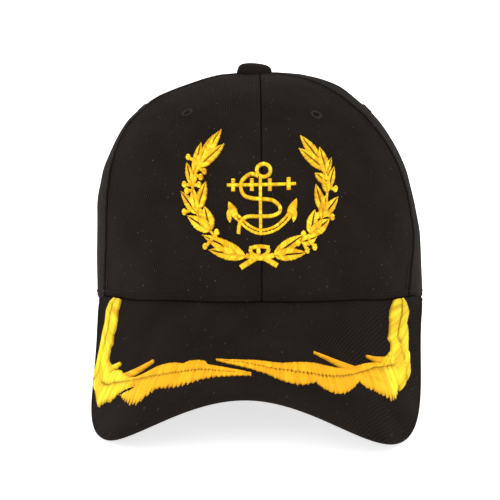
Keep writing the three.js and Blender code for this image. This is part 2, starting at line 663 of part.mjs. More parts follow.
function button() {
  const pinEnd = -WALL - EYELET_STAND;
  const pin = [
    [0, pinEnd],
    [BUTTON_PIN_RADIUS, pinEnd],
    [BUTTON_PIN_RADIUS, GAP],
  ];
  const dome = [
    [BUTTON_RADIUS * 0.91, 0],
    [BUTTON_RADIUS, BUTTON_HEIGHT * 0.2],
    [BUTTON_RADIUS * 0.92, BUTTON_HEIGHT * 0.54],
    [BUTTON_RADIUS * 0.7, BUTTON_HEIGHT * 0.8],
    [BUTTON_RADIUS * 0.38, BUTTON_HEIGHT * 0.95],
    [0, BUTTON_HEIGHT],
  ];
  const profile = [...pin, ...dome].map(([radius, height]) => new THREE.Vector2(radius, height));
  const turned = new THREE.LatheGeometry(profile, 20);
  turned.rotateX(Math.PI / 2);
  // The dome sits a little to the left of the seams' crossing, where its pin goes through.
  const position = turned.attributes.position;
  for (let i = 0; i < position.count; i += 1) {
    if (i % profile.length >= pin.length) position.setX(i, position.getX(i) + BUTTON_SHIFT);
  }
  turned.translate(0, APEX_BACK, CROWN_HEIGHT);
  return solidOf(turned);
}

const strapHalfAngle = () => Math.asin((ARCH_HALF_WIDTH + STRAP_TUCK) / HALF_WIDTH);

function sweatband() {
  const end = Math.PI - strapHalfAngle() - (GAP + LINING_GAP) / HALF_WIDTH;
  const outer = WALL + LINING_GAP;
  const surface = (inset) => (across, rise) =>
    crownPoint(lerp(-end, end, across), lerp(SWEATBAND_BOTTOM, SWEATBAND_TOP, rise), inset);
  return solidOf(wall(shares(40), shares(3), surface(outer), surface(outer + SWEATBAND_THICKNESS)));
}

function backStrap() {
  const outer = WALL + LINING_GAP;
  const half = strapHalfAngle();
  const surface = (inset) => (across, rise) => {
    const up = between(sectionColumns.height, sectionShares, (rise * STRAP_HEIGHT) / CROWN_HEIGHT);
    return crownPoint(Math.PI + lerp(-half, half, across), up, inset);
  };
  return solidOf(wall(shares(20), shares(2), surface(outer), surface(outer + STRAP_THICKNESS)));
}

const VISOR_COLUMNS = 38;
const VISOR_ROWS = [0, 0.07, 0.15, 0.24, 0.34, 0.44, 0.55, 0.7, 0.85, 0.965, 1];

function visor() {
  const surface = (depth) => (along, out) => {
    const point = visorPoint(along, out, WALL);
    const normal = normalOf((a, b) => visorPoint(a, b, WALL), along, out);
    const rounding = out === 1 ? VISOR_EDGE_ROUNDING : 0;
    const down = depth === 0 ? rounding : depth - rounding;
    return point.addScaledVector(normal, normal.z > 0 ? -down : down);
  };
  return solidOf(wall(shares(VISOR_COLUMNS), VISOR_ROWS, surface(0), surface(VISOR_THICKNESS)));
}

// Embroidery

// One of a few thread layers, so that strokes that cross lie clearly over one another.
const layerOf = (index) => ({
  under: THREAD_GAP + 0.08 * (index % 3),
  over: THREAD_GAP + THREAD_PILE + 0.1 * (index % 4),
});

// A padded stroke on a cloth: a line of points in cloth coordinates, with a width at each share of its length.
function stroke(cloth, points, widthAt, index, columns, rows = 2) {
  const line = new THREE.CatmullRomCurve3(points.map(([x, y]) => new THREE.Vector3(x, y, 0)), false, "centripetal");
  const layer = layerOf(index);
  const surface = (top) => (along, across) => {
    const middle = line.getPoint(along);
    const direction = line.getTangent(along);
    const side = (across - 0.5) * widthAt(along);
    const crowned = 1 - 0.4 * Math.abs(across - 0.5) * 2;
    const lift = top ? lerp(layer.under, layer.over, crowned) : layer.under;
    return cloth(middle.x - direction.y * side, middle.y + direction.x * side, lift);
  };
  return solidOf(wall(shares(columns), shares(rows), surface(true), surface(false)));
}

const emblemCloth = (across, up, lift) => crownCloth((across * EMBLEM_WIDTH) / 100, (up * EMBLEM_WIDTH) / 100, lift);
const leafWidth = (wide) => (along) => wide * Math.max(0.16, Math.sin(Math.PI * along ** 0.85) ** 0.75);
const evenWidth = (wide) => () => wide;

// Point of a branch's stem that lies nearest to a place: leaves and berries spring from there.
function nearestOn(points, place) {
  const line = new THREE.CatmullRomCurve3(points.map(([x, y]) => new THREE.Vector3(x, y, 0)), false, "centripetal");
  const target = new THREE.Vector3(place[0], place[1], 0);
  const candidates = line.getPoints(80);
  const nearest = candidates.reduce((best, point) =>
    point.distanceTo(target) < best.distanceTo(target) ? point : best,
  );
  return [nearest.x, nearest.y];
}

function leafStroke(stem, leaf, index) {
  return stroke(emblemCloth, [nearestOn(stem, leaf.from), leaf.to], leafWidth(leaf.wide), index, 4);
}

function berryStrokes(stem, place, index) {
  const root = nearestOn(stem, place);
  const top = [place[0], place[1] + BERRY_WIDE / 2];
  const foot = [place[0], place[1] - BERRY_WIDE / 2];
  return [
    stroke(emblemCloth, [foot, top], leafWidth(BERRY_WIDE), index + 1, 3, 1),
    stroke(emblemCloth, [root, place], evenWidth(STALK_WIDE), index + 2, 1, 1),
  ];
}

function wreathBranch(stem, leaves, berries) {
  return joined([
    stroke(emblemCloth, stem, evenWidth(STEM_WIDE), 0, 14, 1),
    ...leaves.map((leaf, i) => leafStroke(stem, leaf, i + 1)),
    ...berries.flatMap((place, i) => berryStrokes(stem, place, i)),
  ]);
}

function strokes(list, first = 0) {
  return list.map(({ points, wide }, i) => {
    const length = points.reduce((sum, point, j) => {
      const step = j === 0 ? 0 : Math.hypot(point[0] - points[j - 1][0], point[1] - points[j - 1][1]);
      return sum + step;
    }, 0);
    const columns = Math.max(2, Math.ceil(length / STROKE_STEP));
    return stroke(emblemCloth, points, evenWidth(wide), i + first, columns);
  });
}

function ringStrokes({ centre, radius, wide }) {
  const arc = (from, to) =>
    shares(6).map((share) => {
      const turn = lerp(from, to, share);
      return [centre[0] + radius * Math.cos(turn), centre[1] + radius * Math.sin(turn)];
    });
  const overlap = 0.2;
  return strokes([
    { points: arc(-overlap, Math.PI + overlap), wide },
    { points: arc(Math.PI, 2 * Math.PI), wide },
  ]);
}

function flukeStroke(fluke, index) {
  return stroke(emblemCloth, [fluke.from, fluke.to], leafWidth(fluke.wide), index + 1, 4);
}

function anchor() {
  return joined([
    ...strokes(ANCHOR_STROKES),
    ...ANCHOR_FLUKES.map(flukeStroke),
    ...ringStrokes(ANCHOR_RING),
    ...strokes(ROPE_STROKES, 3),
  ]);
}

// A band on the visor between two rims that are given at stations, with a few steps from station to station.
function band(rows, pointAt, index, steps) {
  const layer = layerOf(index);
  const surface = (top) => (share, side) => {
    const place = share * (rows.length - 1);
    const i = Math.min(Math.floor(place + 1e-6), rows.length - 2);
    const start = pointAt(rows[i], side);
    const end = pointAt(rows[i + 1], side);
    const [along, out] = start.map((value, axis) => lerp(value, end[axis], place - i));
    const crowned = 1 - 0.4 * Math.abs(side - 0.5) * 2;
    return visorCloth(along, out, top ? lerp(layer.under, layer.over, crowned) : layer.under);
  };
  return solidOf(wall(shares((rows.length - 1) * steps), shares(3), surface(true), surface(false)));
}

const frontBandPoint = (row, side) => [row.along, lerp(row.back, row.front, side)];
const sideBandPoint = (row, side) => [lerp(row.outer, row.inner, side), row.out];

// A spike of the branch. Its width is a share of the visor's depth at its root, and it ends in a point.
function spike({ from, to, wide }, index) {
  const widthAt = (along) => wide * (1 - 0.75 * along);
  const layer = layerOf(index);
  const surface = (top) => (share, side) => {
    const along = lerp(from[0], to[0], share);
    const out = lerp(from[1], to[1], share) + (side - 0.5) * widthAt(share);
    return visorCloth(along, out, top ? layer.over : layer.under);
  };
  return solidOf(wall(shares(4), shares(1), surface(true), surface(false)));
}

function visorBranch(frontBand, sideBand, spikes) {
  return joined([
    band(frontBand, frontBandPoint, 0, 2),
    band(sideBand, sideBandPoint, 2, 3),
    ...spikes.map((one, i) => spike(one, i + 1)),
  ]);
}

// The cap

const cap = new THREE.Group();

function add(name, solid, finish) {
  const mesh = new THREE.Mesh(geometryFrom(solid), new THREE.MeshStandardMaterial(finish));
  mesh.name = name;
  cap.add(mesh);
  return mesh;
}

const visorMesh = add("visor", visor(), BLACK_TWILL);

// The cap leans back until the visor's lowest points and the back of the hem touch one level surface.
const visorPoints = visorMesh.geometry.attributes.position;
for (let i = 0; i < visorPoints.count; i += 1) {
  lean = Math.max(lean, Math.atan2(-visorPoints.getZ(i), HALF_LENGTH - visorPoints.getY(i)));
}

const PANELS = ["back_left", "side_left", "front_left", "front_right", "side_right", "back_right"];
const arch = archTool();
PANELS.forEach((name, index) => {
  const whole = EYELETS.filter((eyelet) => eyelet.name === name).reduce(
    (solid, eyelet) => solid.subtract(eyeletHole(eyelet)),
    panel(index),
  );
  add("crown_" + name, name.startsWith("back") ? whole.subtract(arch) : whole, BLACK_TWILL);
});

EYELETS.forEach((eyelet) => add("eyelet_" + eyelet.name, eyeletRing(eyelet), BLACK_TWILL));
add("crown_button", button(), BLACK_TWILL);
add("sweatband", sweatband(), BLACK_LINING);
add("back_strap", backStrap(), BLACK_TWILL);
add("wreath_left", wreathBranch(LEFT_STEM, LEFT_LEAVES, LEFT_BERRIES), GOLD_THREAD);
add("wreath_right", wreathBranch(RIGHT_STEM, RIGHT_LEAVES, RIGHT_BERRIES), GOLD_THREAD);
add("wreath_bow", joined(strokes(BOW_STROKES)), GOLD_THREAD);
add("anchor", anchor(), GOLD_THREAD);
add("visor_branch_left", visorBranch(LEFT_FRONT_BAND, LEFT_SIDE_BAND, LEFT_SPIKES), GOLD_THREAD);
add("visor_branch_right", visorBranch(RIGHT_FRONT_BAND, RIGHT_SIDE_BAND, RIGHT_SPIKES), GOLD_THREAD);

cap.rotation.x = -lean;

const part = new THREE.Group();
part.add(cap);
part.updateMatrixWorld(true);
const box = new THREE.Box3().setFromObject(part, true);
const centre = box.getCenter(new THREE.Vector3());
cap.position.set(-centre.x, -centre.y, -box.min.z);

export default part;
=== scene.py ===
import math
import random

import bmesh
import bpy
from bpy.props import FloatProperty, FloatVectorProperty, IntProperty, PointerProperty
from mathutils import Matrix, Vector, geometry, noise


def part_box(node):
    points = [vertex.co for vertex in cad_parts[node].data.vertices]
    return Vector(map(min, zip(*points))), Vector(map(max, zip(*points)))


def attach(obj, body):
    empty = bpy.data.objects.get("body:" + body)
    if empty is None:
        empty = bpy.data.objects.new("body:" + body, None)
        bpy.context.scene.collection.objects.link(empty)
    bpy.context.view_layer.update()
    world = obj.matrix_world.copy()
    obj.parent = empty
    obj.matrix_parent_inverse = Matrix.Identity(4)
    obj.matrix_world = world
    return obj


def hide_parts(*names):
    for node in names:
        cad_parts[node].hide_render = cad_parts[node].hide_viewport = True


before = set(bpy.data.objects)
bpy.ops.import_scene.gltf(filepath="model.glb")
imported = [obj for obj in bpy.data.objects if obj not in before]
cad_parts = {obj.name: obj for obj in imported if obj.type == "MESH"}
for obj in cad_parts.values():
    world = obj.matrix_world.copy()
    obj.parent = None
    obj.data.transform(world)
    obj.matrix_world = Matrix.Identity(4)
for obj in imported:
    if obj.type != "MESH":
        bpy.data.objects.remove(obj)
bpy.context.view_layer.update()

bl_info = {
    "name": "Captain Cap",
    "version": (1, 0, 0),
    "blender": (4, 5, 0),
    "location": "View3D > Sidebar > Cap",
    "description": "Makes a twill cap with a curved visor and gold embroidery",
    "category": "Add Mesh",
}

# Sizes of the part, as its CAD has them
HALF_LENGTH = 0.101
HALF_WIDTH = 0.0862
CROWN_HEIGHT = 0.118
APEX_BACK = 0.005
WALL = 0.002
HEM_LIFT = 0.0154
PANEL_FLATNESS = 0.22
VISOR_HALF_WIDTH = 0.0804
VISOR_REACH = 0.0558
VISOR_SHOULDER = 0.0612
VISOR_SIDE_ROUNDNESS = 3.27
VISOR_FRONT_ROUNDNESS = 3.05
VISOR_SLOPE = math.radians(31.8)
VISOR_BEND_RADIUS = 0.0676
VISOR_RISE = 0.0172
VISOR_SWING = math.radians(3.8)
VISOR_SHIFT = 0.003
VISOR_BLEND = 0.3
VISOR_THICKNESS = 0.003
VISOR_EDGE_ROUNDING = 0.0007
VISOR_GAP = 0.0005
LINING_GAP = 0.0007
SWEATBAND_THICKNESS = 0.0012
SWEATBAND_TOP = 0.25
SWEATBAND_BOTTOM = 0.012
ARCH_HALF_WIDTH = 0.042
ARCH_HEIGHT = 0.056
STRAP_HEIGHT = 0.022
STRAP_THICKNESS = 0.0016
STRAP_TUCK = 0.013
REST_HALF_ANGLE = 18
REST_FADE_ANGLE = 32
EYELET_RADIUS = 0.0032
EYELET_HOLE_RADIUS = 0.0012
BUTTON_RADIUS = 0.009
BUTTON_PIN_RADIUS = 0.0015
SEAM_GAP = 0.0003
BUTTON_SHIFT = -0.0027
EMBLEM_WIDTH = 0.08
EMBLEM_UNIT = EMBLEM_WIDTH / 100

# What only the finer pieces have: the visor's rounded rim, its ends drawn out and its front rim thinned, and
# the button's lean
RIM_RADIUS = 0.0008
VISOR_FLARE = 0.0024
VISOR_THINNING = 0.0013
BUTTON_TILT = math.radians(4)

# The sewing: grooves at the seams, the allowances beside them, hems, and how far stitches lie from an edge
SEAM_GROOVE = 0.0009
FRONT_SEAM_GROOVE = 0.0003
ALLOWANCE_MIDDLE = 0.0021
ALLOWANCE_SPREAD = 0.0016
ALLOWANCE_HEIGHT = 0.00022
STITCH_SPREAD = 0.0006
STITCH_DENT = 0.00018
PUCKER_LENGTH = 0.0083
PUCKER_REACH = 0.006
HEM_ROLL = 0.0007
HEM_DROP = 0.0006
HEM_STITCHES = 0.0024
HEM_DENT = 0.00015
BAND_STITCHES = 0.0025
BAND_HEIGHT = 0.03
BAND_ROLL = 0.0004
BAND_END_GAP = 0.001
BAND_THREAD_PITCH = 0.0009
STRAP_ROLL = 0.0003
VISOR_STITCHES = 0.0028
VISOR_DENT = 0.00025
CALM_BY_SEAM = 0.006
CALM_BY_EDGE = 0.004
THREAD_RADIUS = 0.00022
SEAM_THREAD_DEPTH = 0.00012
EDGE_THREAD_DEPTH = 0.0001
SEAM_ROW_START = 0.004
SEAM_ROW_STOP = 0.035
ARCH_CLEARANCE = 0.002
EYELET_CUT = 0.62
EYELET_STITCHES = 30
EYELET_SPREAD = 0.0003
EYELET_RISE = 0.0006
BUTTON_PLEATS = 16
BUTTON_PLEAT_DEPTH = 0.00022
BUTTON_UNEVENNESS = 0.0002
BUTTON_SECTION = (
    (0.0, -0.0017), (0.5, -0.0017), (0.97, -0.0016), (1.05, -0.0009), (1.04, 0.0004), (1.01, 0.0016),
    (0.95, 0.0028), (0.84, 0.0037), (0.66, 0.00435), (0.42, 0.0047), (0.2, 0.0048), (0.0, 0.0048),
)

# The embroidery: heights of the padding, and of what each layer is laid on
STALK_PILE = 0.00025
STEM_PILE = 0.0003
LEAF_PILE = 0.00045
STROKE_PILE = 0.0005
ROPE_PILE = 0.0006
BRANCH_PILE = 0.0006
STEM_BASE = 0.0001
FIRST_BASE = 0.0002
LEAF_LAYER = 0.00012
STROKE_LAYER = 0.0001
RIM_DEPTH = 0.0001
SLIT_DOT_PITCH = 0.0018

# The camera of the photograph, in the cap's own frame
CAMERA_DISTANCE = 0.9
CAMERA_ELEVATION = math.radians(9.0)
CAMERA_YAW = math.radians(0.22)
CAMERA_AIM = Vector((-0.0052, 0, 0.0242))
CAMERA_LENS = 122.1

# Sections of the crown from the hem to the top: height is a share of the height above the hem, left, right,
# front and back are shares of the half width and half length, and the seams are degrees from the front.
SECTION_COLUMNS = ("height", "left", "right", "front", "back", "seam_left", "seam_right")
SECTIONS = (
    (0.0, 1.0, 1.0, 1.0, 1.0, 67, 59.5),
    (0.13, 1.008, 0.996, 0.995, 0.99, 65, 62),
    (0.27, 1.013, 0.994, 0.98, 0.955, 63.5, 64.5),
    (0.41, 1.019, 0.97, 0.95, 0.905, 63, 64.5),
    (0.55, 0.991, 0.928, 0.9, 0.835, 64.5, 63.5),
    (0.68, 0.913, 0.844, 0.83, 0.745, 69, 62.5),
    (0.79, 0.817, 0.737, 0.73, 0.64, 72, 60.5),
    (0.88, 0.675, 0.61, 0.6, 0.51, 73, 58),
    (0.945, 0.467, 0.485, 0.43, 0.365, 73, 56),
    (0.985, 0.266, 0.285, 0.23, 0.2, 73, 56),
    (1.0, 0.0, 0.0, 0.0, 0.0, 73, 56),
)

# Dents and swells: degrees from the front, share of the way up, spreads in the same units, inward depth as a
# share of the half width.
DENTS = (
    (-74, 0.655, 16, 0.035, 0.012),
    (-72, 0.735, 14, 0.03, -0.013),
    (66, 0.8, 13, 0.06, 0.012),
    (12, 0.6, 9, 0.12, 0.006),
    (-16, 0.66, 9, 0.1, 0.006),
    (158, 0.72, 15, 0.08, 0.012),
    (-146, 0.62, 14, 0.08, 0.01),
)

# The hem's rise towards the front: degrees from the front, share of HEM_LIFT
HEM_CURVE = ((0, 1), (30, 0.88), (45, 0.7), (62, 0.54), (78, 0.185), (95, 0), (180, 0))

# Eyelets: name, degrees from the front, share of the way up
EYELETS = (
    ("front_left", -38.3, 0.651),
    ("front_right", 28.4, 0.642),
    ("side_left", -96, 0.65),
    ("side_right", 91, 0.65),
    ("back_left", -150, 0.65),
    ("back_right", 150, 0.65),
)
PANELS = ("back_left", "side_left", "front_left", "front_right", "side_right", "back_right")

# Wreath in hundredths of the emblem's width: across from the centre seam and up the cloth from the hem.
# A leaf has its root, its tip and its width.
LEFT_STEM = ((-9, 27), (-20, 32), (-31, 41.5), (-40, 52.5), (-43, 68), (-41.5, 76), (-36, 88))
LEFT_LEAVES = (
    ((-9.3, 27.9), (-36.3, 39.3), 6.5),
    ((-9.4, 26.5), (-32.1, 30.6), 6.5),
    ((-30.9, 41.3), (-46.1, 50.3), 6.5),
    ((-30.5, 42.6), (-34.9, 56.1), 6.5),
    ((-31.5, 42.0), (-40.1, 52.1), 4.6),
    ((-39.7, 51.8), (-50.6, 64.7), 5.4),
    ((-40.1, 51.8), (-42.9, 67.1), 4.6),
    ((-39.4, 53.1), (-34.2, 71.0), 5.4),
    ((-43.6, 67.7), (-46.9, 82.8), 4.6),
    ((-42.5, 68.4), (-41.5, 80.9), 4.0),
    ((-42.2, 75.0), (-37.6, 96.3), 5.4),
    ((-40.9, 77.1), (-34.0, 93.7), 4.6),
    ((-37.4, 81.6), (-24.7, 106.7), 5.8),
    ((-39.0, 77.8), (-22.8, 95.7), 5.8),
    ((-36.5, 84.9), (-29.7, 102.1), 4.0),
)
LEFT_BERRIES = (
    (-34.3, 32.6), (-27.1, 41.1), (-48.1, 52.5), (-37.3, 52.5), (-48.3, 69.1),
    (-38.5, 69.1), (-46.7, 65.2), (-45.9, 86.3), (-37.6, 73.9), (-35.2, 77.4),
)
RIGHT_STEM = ((7, 27.5), (17, 31.5), (29.5, 39.5), (37.5, 49.5), (41.5, 65), (41, 76), (35.5, 86))
RIGHT_LEAVES = (
    ((6.6, 28.4), (24.9, 39.5), 6.5),
    ((6.8, 26.7), (26.7, 29.0), 6.4),
    ((26.1, 31.8), (33.6, 38.0), 5.8),
    ((30.5, 39.0), (42.0, 48.1), 6.5),
    ((27.8, 40.9), (32.7, 54.1), 6.3),
    ((29.5, 38.8), (37.3, 47.9), 4.6),
    ((38.4, 48.5), (48.5, 61.2), 5.4),
    ((37.0, 47.9), (40.3, 62.5), 5.4),
    ((37.1, 52.4), (33.6, 69.3), 5.4),
    ((44.1, 64.9), (46.5, 79.9), 4.6),
    ((45.0, 77.0), (44.7, 85.7), 3.4),
    ((42.2, 74.3), (36.7, 92.7), 5.8),
    ((35.2, 82.1), (24.4, 101.9), 5.8),
    ((37.4, 76.4), (23.2, 92.5), 5.8),
    ((39.1, 70.3), (33.0, 76.2), 4.6),
    ((40.0, 64.5), (39.2, 76.9), 4.6),
)
RIGHT_BERRIES = (
    (27.6, 30.3), (32.4, 32.1), (25.4, 40.1), (44.3, 49.3), (34.6, 50.5), (47.2, 66.1), (21.8, 34.8),
)
LEAF_FULLNESS = 1.3
BERRY_WIDE = 3.9
STALK_WIDE = 2.3
STEM_WIDE = 1.8
VEIN_WIDE = 0.6

# Bow, anchor and rope strokes in the same hundredths, each with its width
BOW_STROKES = (
    (((-7.4, 31.8), (-1.6, 32.9), (4.6, 32.2)), 2.6),
    (((-6.8, 31.6), (-6, 28.8), (-2.4, 26.9)), 2.6),
    (((4, 31.8), (3, 28.8), (-0.4, 26.9)), 2.6),
    (((-2.1, 32.4), (-1.8, 25.2)), 2.6),
    (((-9.4, 27.6), (-5, 26.4), (-1.2, 26), (3, 26.6), (7.2, 27.8)), 3.4),
    (((-2, 27), (-7, 24), (-12.6, 20.6)), 3.6),
    (((-0.8, 27), (4, 24.6), (9.2, 21.6)), 3.6),
)
ANCHOR_STROKES = (
    (((-0.8, 75.5), (-0.8, 58), (-0.7, 39.5)), 2.1),
    (((-21, 69.2), (0, 69.6), (20.8, 70)), 2.1),
    (((-17.1, 65.4), (-17.1, 73)), 2.6),
    (((-5.8, 65.8), (-5.8, 73.4)), 2.6),
    (((4.9, 65.7), (4.9, 73.3)), 2.6),
    (((16.3, 66.2), (16.3, 73.8)), 2.8),
)
ANCHOR_ARM = ((-16.6, 52), (-12.6, 48.4), (-7.4, 44), (-0.6, 41.4), (8, 43.6), (15, 49.4), (17.4, 53))
ANCHOR_ARM_WIDE = 4
ANCHOR_FLUKES = (
    ((-15.2, 49.4), (-19.8, 59.1), 4.4),
    ((-20, 54.4), (-19, 46.6), 2.7),
    ((16, 49.6), (21.1, 60.9), 4.4),
    ((20.3, 54.6), (18.9, 46.9), 2.7),
)
ANCHOR_RING_CENTRE = (1.2, 78.6)
ANCHOR_RING_RADIUS = 4.1
ANCHOR_RING_WIDE = 2.5
ROPE = (
    (-1.6, 74.6), (-6.4, 76.2), (-11.2, 72.6), (-12.5, 68.2), (-10.6, 63.2), (-5.8, 61.3), (0, 60.8),
    (6.4, 60), (10.4, 56.6), (10.6, 53.2), (6.3, 50.9), (-1.1, 50.5), (-8.8, 50.3), (-12.9, 46.6),
    (-13.9, 40.2),
)
ROPE_WIDE = 2.4

# Visor branches: along the visor's edge from its left end, 0, to its right end, 1, and out from the hem, 0,
# to the edge, 1. Front bands: along, back rim, vein, front rim. Side bands: out, outer rim, vein, inner rim.
LEFT_FRONT_BAND = (
    (0.098, 0.6, 0.65, 0.7),
    (0.112, 0.58, 0.72, 0.86),
    (0.134, 0.57, 0.76, 0.93),
    (0.166, 0.565, 0.745, 0.89),
    (0.2, 0.552, 0.685, 0.89),
    (0.21, 0.535, 0.656, 0.84),
    (0.22, 0.526, 0.63, 0.795),
    (0.235, 0.54, 0.614, 0.78),
    (0.252, 0.555, 0.597, 0.692),
    (0.265, 0.562, 0.588, 0.72),
    (0.279, 0.558, 0.579, 0.745),
    (0.296, 0.537, 0.577, 0.78),
    (0.314, 0.508, 0.58, 0.79),
    (0.325, 0.497, 0.585, 0.747),
    (0.34, 0.5, 0.595, 0.704),
    (0.356, 0.514, 0.608, 0.73),
    (0.373, 0.547, 0.625, 0.753),
    (0.382, 0.537, 0.635, 0.762),
    (0.399, 0.553, 0.651, 0.767),
    (0.412, 0.584, 0.667, 0.76),
    (0.417, 0.622, 0.673, 0.762),
    (0.434, 0.66, 0.707, 0.767),
    (0.455, 0.703, 0.742, 0.779),
    (0.485, 0.755, 0.77, 0.785),
)
LEFT_SIDE_BAND = (
    (0.012, 0.073, 0.088, 0.109),
    (0.1, 0.063, 0.085, 0.115),
    (0.17, 0.06, 0.086, 0.118),
    (0.25, 0.061, 0.091, 0.13),
    (0.33, 0.06, 0.097, 0.139),
    (0.4, 0.063, 0.106, 0.14),
    (0.45, 0.071, 0.112, 0.152),
    (0.5, 0.079, 0.114, 0.148),
    (0.55, 0.081, 0.117, 0.155),
    (0.63, 0.086, 0.122, 0.165),
    (0.73, 0.096, 0.133, 0.175),
    (0.82, 0.106, 0.142, 0.18),
    (0.9, 0.114, 0.13, 0.15),
)
# Spikes: the roots of the two rims, then their tips
LEFT_SPIKES = (
    ((0.222, 0.56), (0.258, 0.585), (0.303, 0.441), (0.306, 0.464)),
    ((0.165, 0.6), (0.188, 0.62), (0.207, 0.486), (0.213, 0.498)),
)
RIGHT_FRONT_BAND = (
    (0.429, 0.594, 0.598, 0.603),
    (0.45, 0.616, 0.636, 0.655),
    (0.472, 0.629, 0.657, 0.698),
    (0.493, 0.629, 0.684, 0.735),
    (0.507, 0.631, 0.691, 0.753),
    (0.519, 0.63, 0.697, 0.779),
    (0.532, 0.622, 0.691, 0.798),
    (0.551, 0.588, 0.676, 0.796),
    (0.566, 0.563, 0.664, 0.767),
    (0.581, 0.543, 0.65, 0.716),
    (0.591, 0.537, 0.643, 0.748),
    (0.607, 0.53, 0.62, 0.761),
    (0.626, 0.523, 0.59, 0.727),
    (0.644, 0.503, 0.56, 0.662),
    (0.662, 0.476, 0.534, 0.591),
    (0.673, 0.461, 0.517, 0.632),
    (0.691, 0.444, 0.493, 0.657),
    (0.709, 0.443, 0.478, 0.698),
    (0.722, 0.448, 0.482, 0.732),
    (0.738, 0.44, 0.489, 0.736),
    (0.755, 0.43, 0.5, 0.69),
    (0.769, 0.42, 0.52, 0.644),
    (0.785, 0.41, 0.54, 0.7),
    (0.804, 0.42, 0.55, 0.706),
    (0.825, 0.43, 0.56, 0.7),
    (0.838, 0.5, 0.57, 0.63),
)
RIGHT_SIDE_BAND = (
    (0.012, 0.897, 0.884, 0.853),
    (0.06, 0.9, 0.884, 0.84),
    (0.12, 0.904, 0.878, 0.822),
    (0.23, 0.903, 0.861, 0.803),
    (0.3, 0.901, 0.836, 0.79),
    (0.335, 0.893, 0.822, 0.778),
    (0.38, 0.872, 0.812, 0.783),
    (0.42, 0.872, 0.815, 0.773),
    (0.48, 0.864, 0.818, 0.765),
    (0.52, 0.853, 0.815, 0.765),
    (0.57, 0.839, 0.81, 0.76),
    (0.63, 0.833, 0.8, 0.755),
    (0.7, 0.822, 0.79, 0.755),
)
RIGHT_SPIKES = (
    ((0.69, 0.49), (0.648, 0.54), (0.588, 0.446), (0.588, 0.461)),
    ((0.775, 0.45), (0.74, 0.5), (0.699, 0.395), (0.699, 0.408)),
)
# Slits and short veins in the bands: start, end, half width, and whether they are dotted
LEFT_SLITS = (((0.254, 0.68), (0.289, 0.631), 0.0011, False),)
RIGHT_SLITS = (((0.677, 0.543), (0.744, 0.595), 0.0003, True),)


# Tables

def between(places, values, place):
    """Value at a place between a table's rows, on a smooth curve that never overshoots them."""
    last = len(places) - 1
    if place <= places[0]:
        return values[0]
    if place >= places[last]:
        return values[last]
    i = 0
    while place > places[i + 1]:
        i += 1

    def rise(j):
        return (values[j + 1] - values[j]) / (places[j + 1] - places[j])

    def slope(j):
        if j == 0:
            return rise(0)
        if j == last:
            return rise(last - 1)
        if rise(j - 1) * rise(j) <= 0:
            return 0
        before = places[j] - places[j - 1]
        after = places[j + 1] - places[j]
        return 3 * (before + after) / ((2 * after + before) / rise(j - 1) + (after + 2 * before) / rise(j))

    span = places[i + 1] - places[i]
    t = (place - places[i]) / span
    hold = (1 + 2 * t) * (1 - t) ** 2
    ends = slope(i) * t * (1 - t) ** 2 + slope(i + 1) * t * t * (t - 1)
    return values[i] * hold + values[i + 1] * (1 - hold) + ends * span


class Sampled:
    """A curve kept as evenly spaced samples, because it is read many thousands of times."""

    def __init__(self, curve, low, high, count=1200):
        self.low = low
        self.scale = count / (high - low)
        self.last = count
        self.samples = [curve(low + (high - low) * i / count) for i in range(count + 1)]

    def __call__(self, place):
        x = min(max((place - self.low) * self.scale, 0), self.last)
        i = min(int(x), self.last - 1)
        return self.samples[i] + (self.samples[i + 1] - self.samples[i]) * (x - i)


def lerp(a, b, t):
    return a + (b - a) * t


def smoothstep(x, low, high):
    t = min(max((x - low) / (high - low), 0), 1)
    return t * t * (3 - 2 * t)


def bell(distance, spread):
    """1 at no distance, falling away on both sides over a spread."""
    return math.exp(-((distance / spread) ** 2))


def column(table, index):
    return [row[index] for row in table]


SECTION_SHARES = [i / (len(SECTIONS) - 1) for i in range(len(SECTIONS))]
SECTION = {
    key: Sampled(lambda share, i=i: between(SECTION_SHARES, column(SECTIONS, i), share), 0, 1)
    for i, key in enumerate(SECTION_COLUMNS)
}
HEM_SHARE = Sampled(lambda degrees: between(column(HEM_CURVE, 0), column(HEM_CURVE, 1), degrees), 0, 180)


# Surfaces of the crown

class Stance:
    """How the cap stands: its lean back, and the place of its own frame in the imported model's."""

    lean = 0.0
    matrix = Matrix.Identity(4)


def hem_height(angle, y):
    degrees = abs(math.degrees(math.atan2(math.sin(angle), math.cos(angle))))
    own = HEM_LIFT * HEM_SHARE(degrees)
    resting = 1 - smoothstep(180 - degrees, REST_HALF_ANGLE, REST_FADE_ANGLE)
    return lerp(own, -(HALF_LENGTH - y) * math.tan(Stance.lean), resting)


def seams_at(up):
    return (-180, -120, -SECTION["seam_left"](up), 0, SECTION["seam_right"](up), 120, 180)


def panel_flatness(degrees, up):
    seams = seams_at(up)
    i = min(max(next((k for k, seam in enumerate(seams) if degrees <= seam), 6) - 1, 0), 5)
    half_panel = 30
    turn = ((degrees - seams[i]) / (seams[i + 1] - seams[i]) - 0.5) * 2 * half_panel
    return PANEL_FLATNESS * (1 - math.cos(math.radians(half_panel)) / math.cos(math.radians(turn)))


def dent_depth(degrees, up):
    depth = 0
    for angle, place, across_spread, up_spread, size in DENTS:
        across = (((degrees - angle + 540) % 360) - 180) / across_spread
        along = (up - place) / up_spread
        reach = across * across + along * along
        if reach < 12:
            depth += size * math.exp(-reach)
    return depth


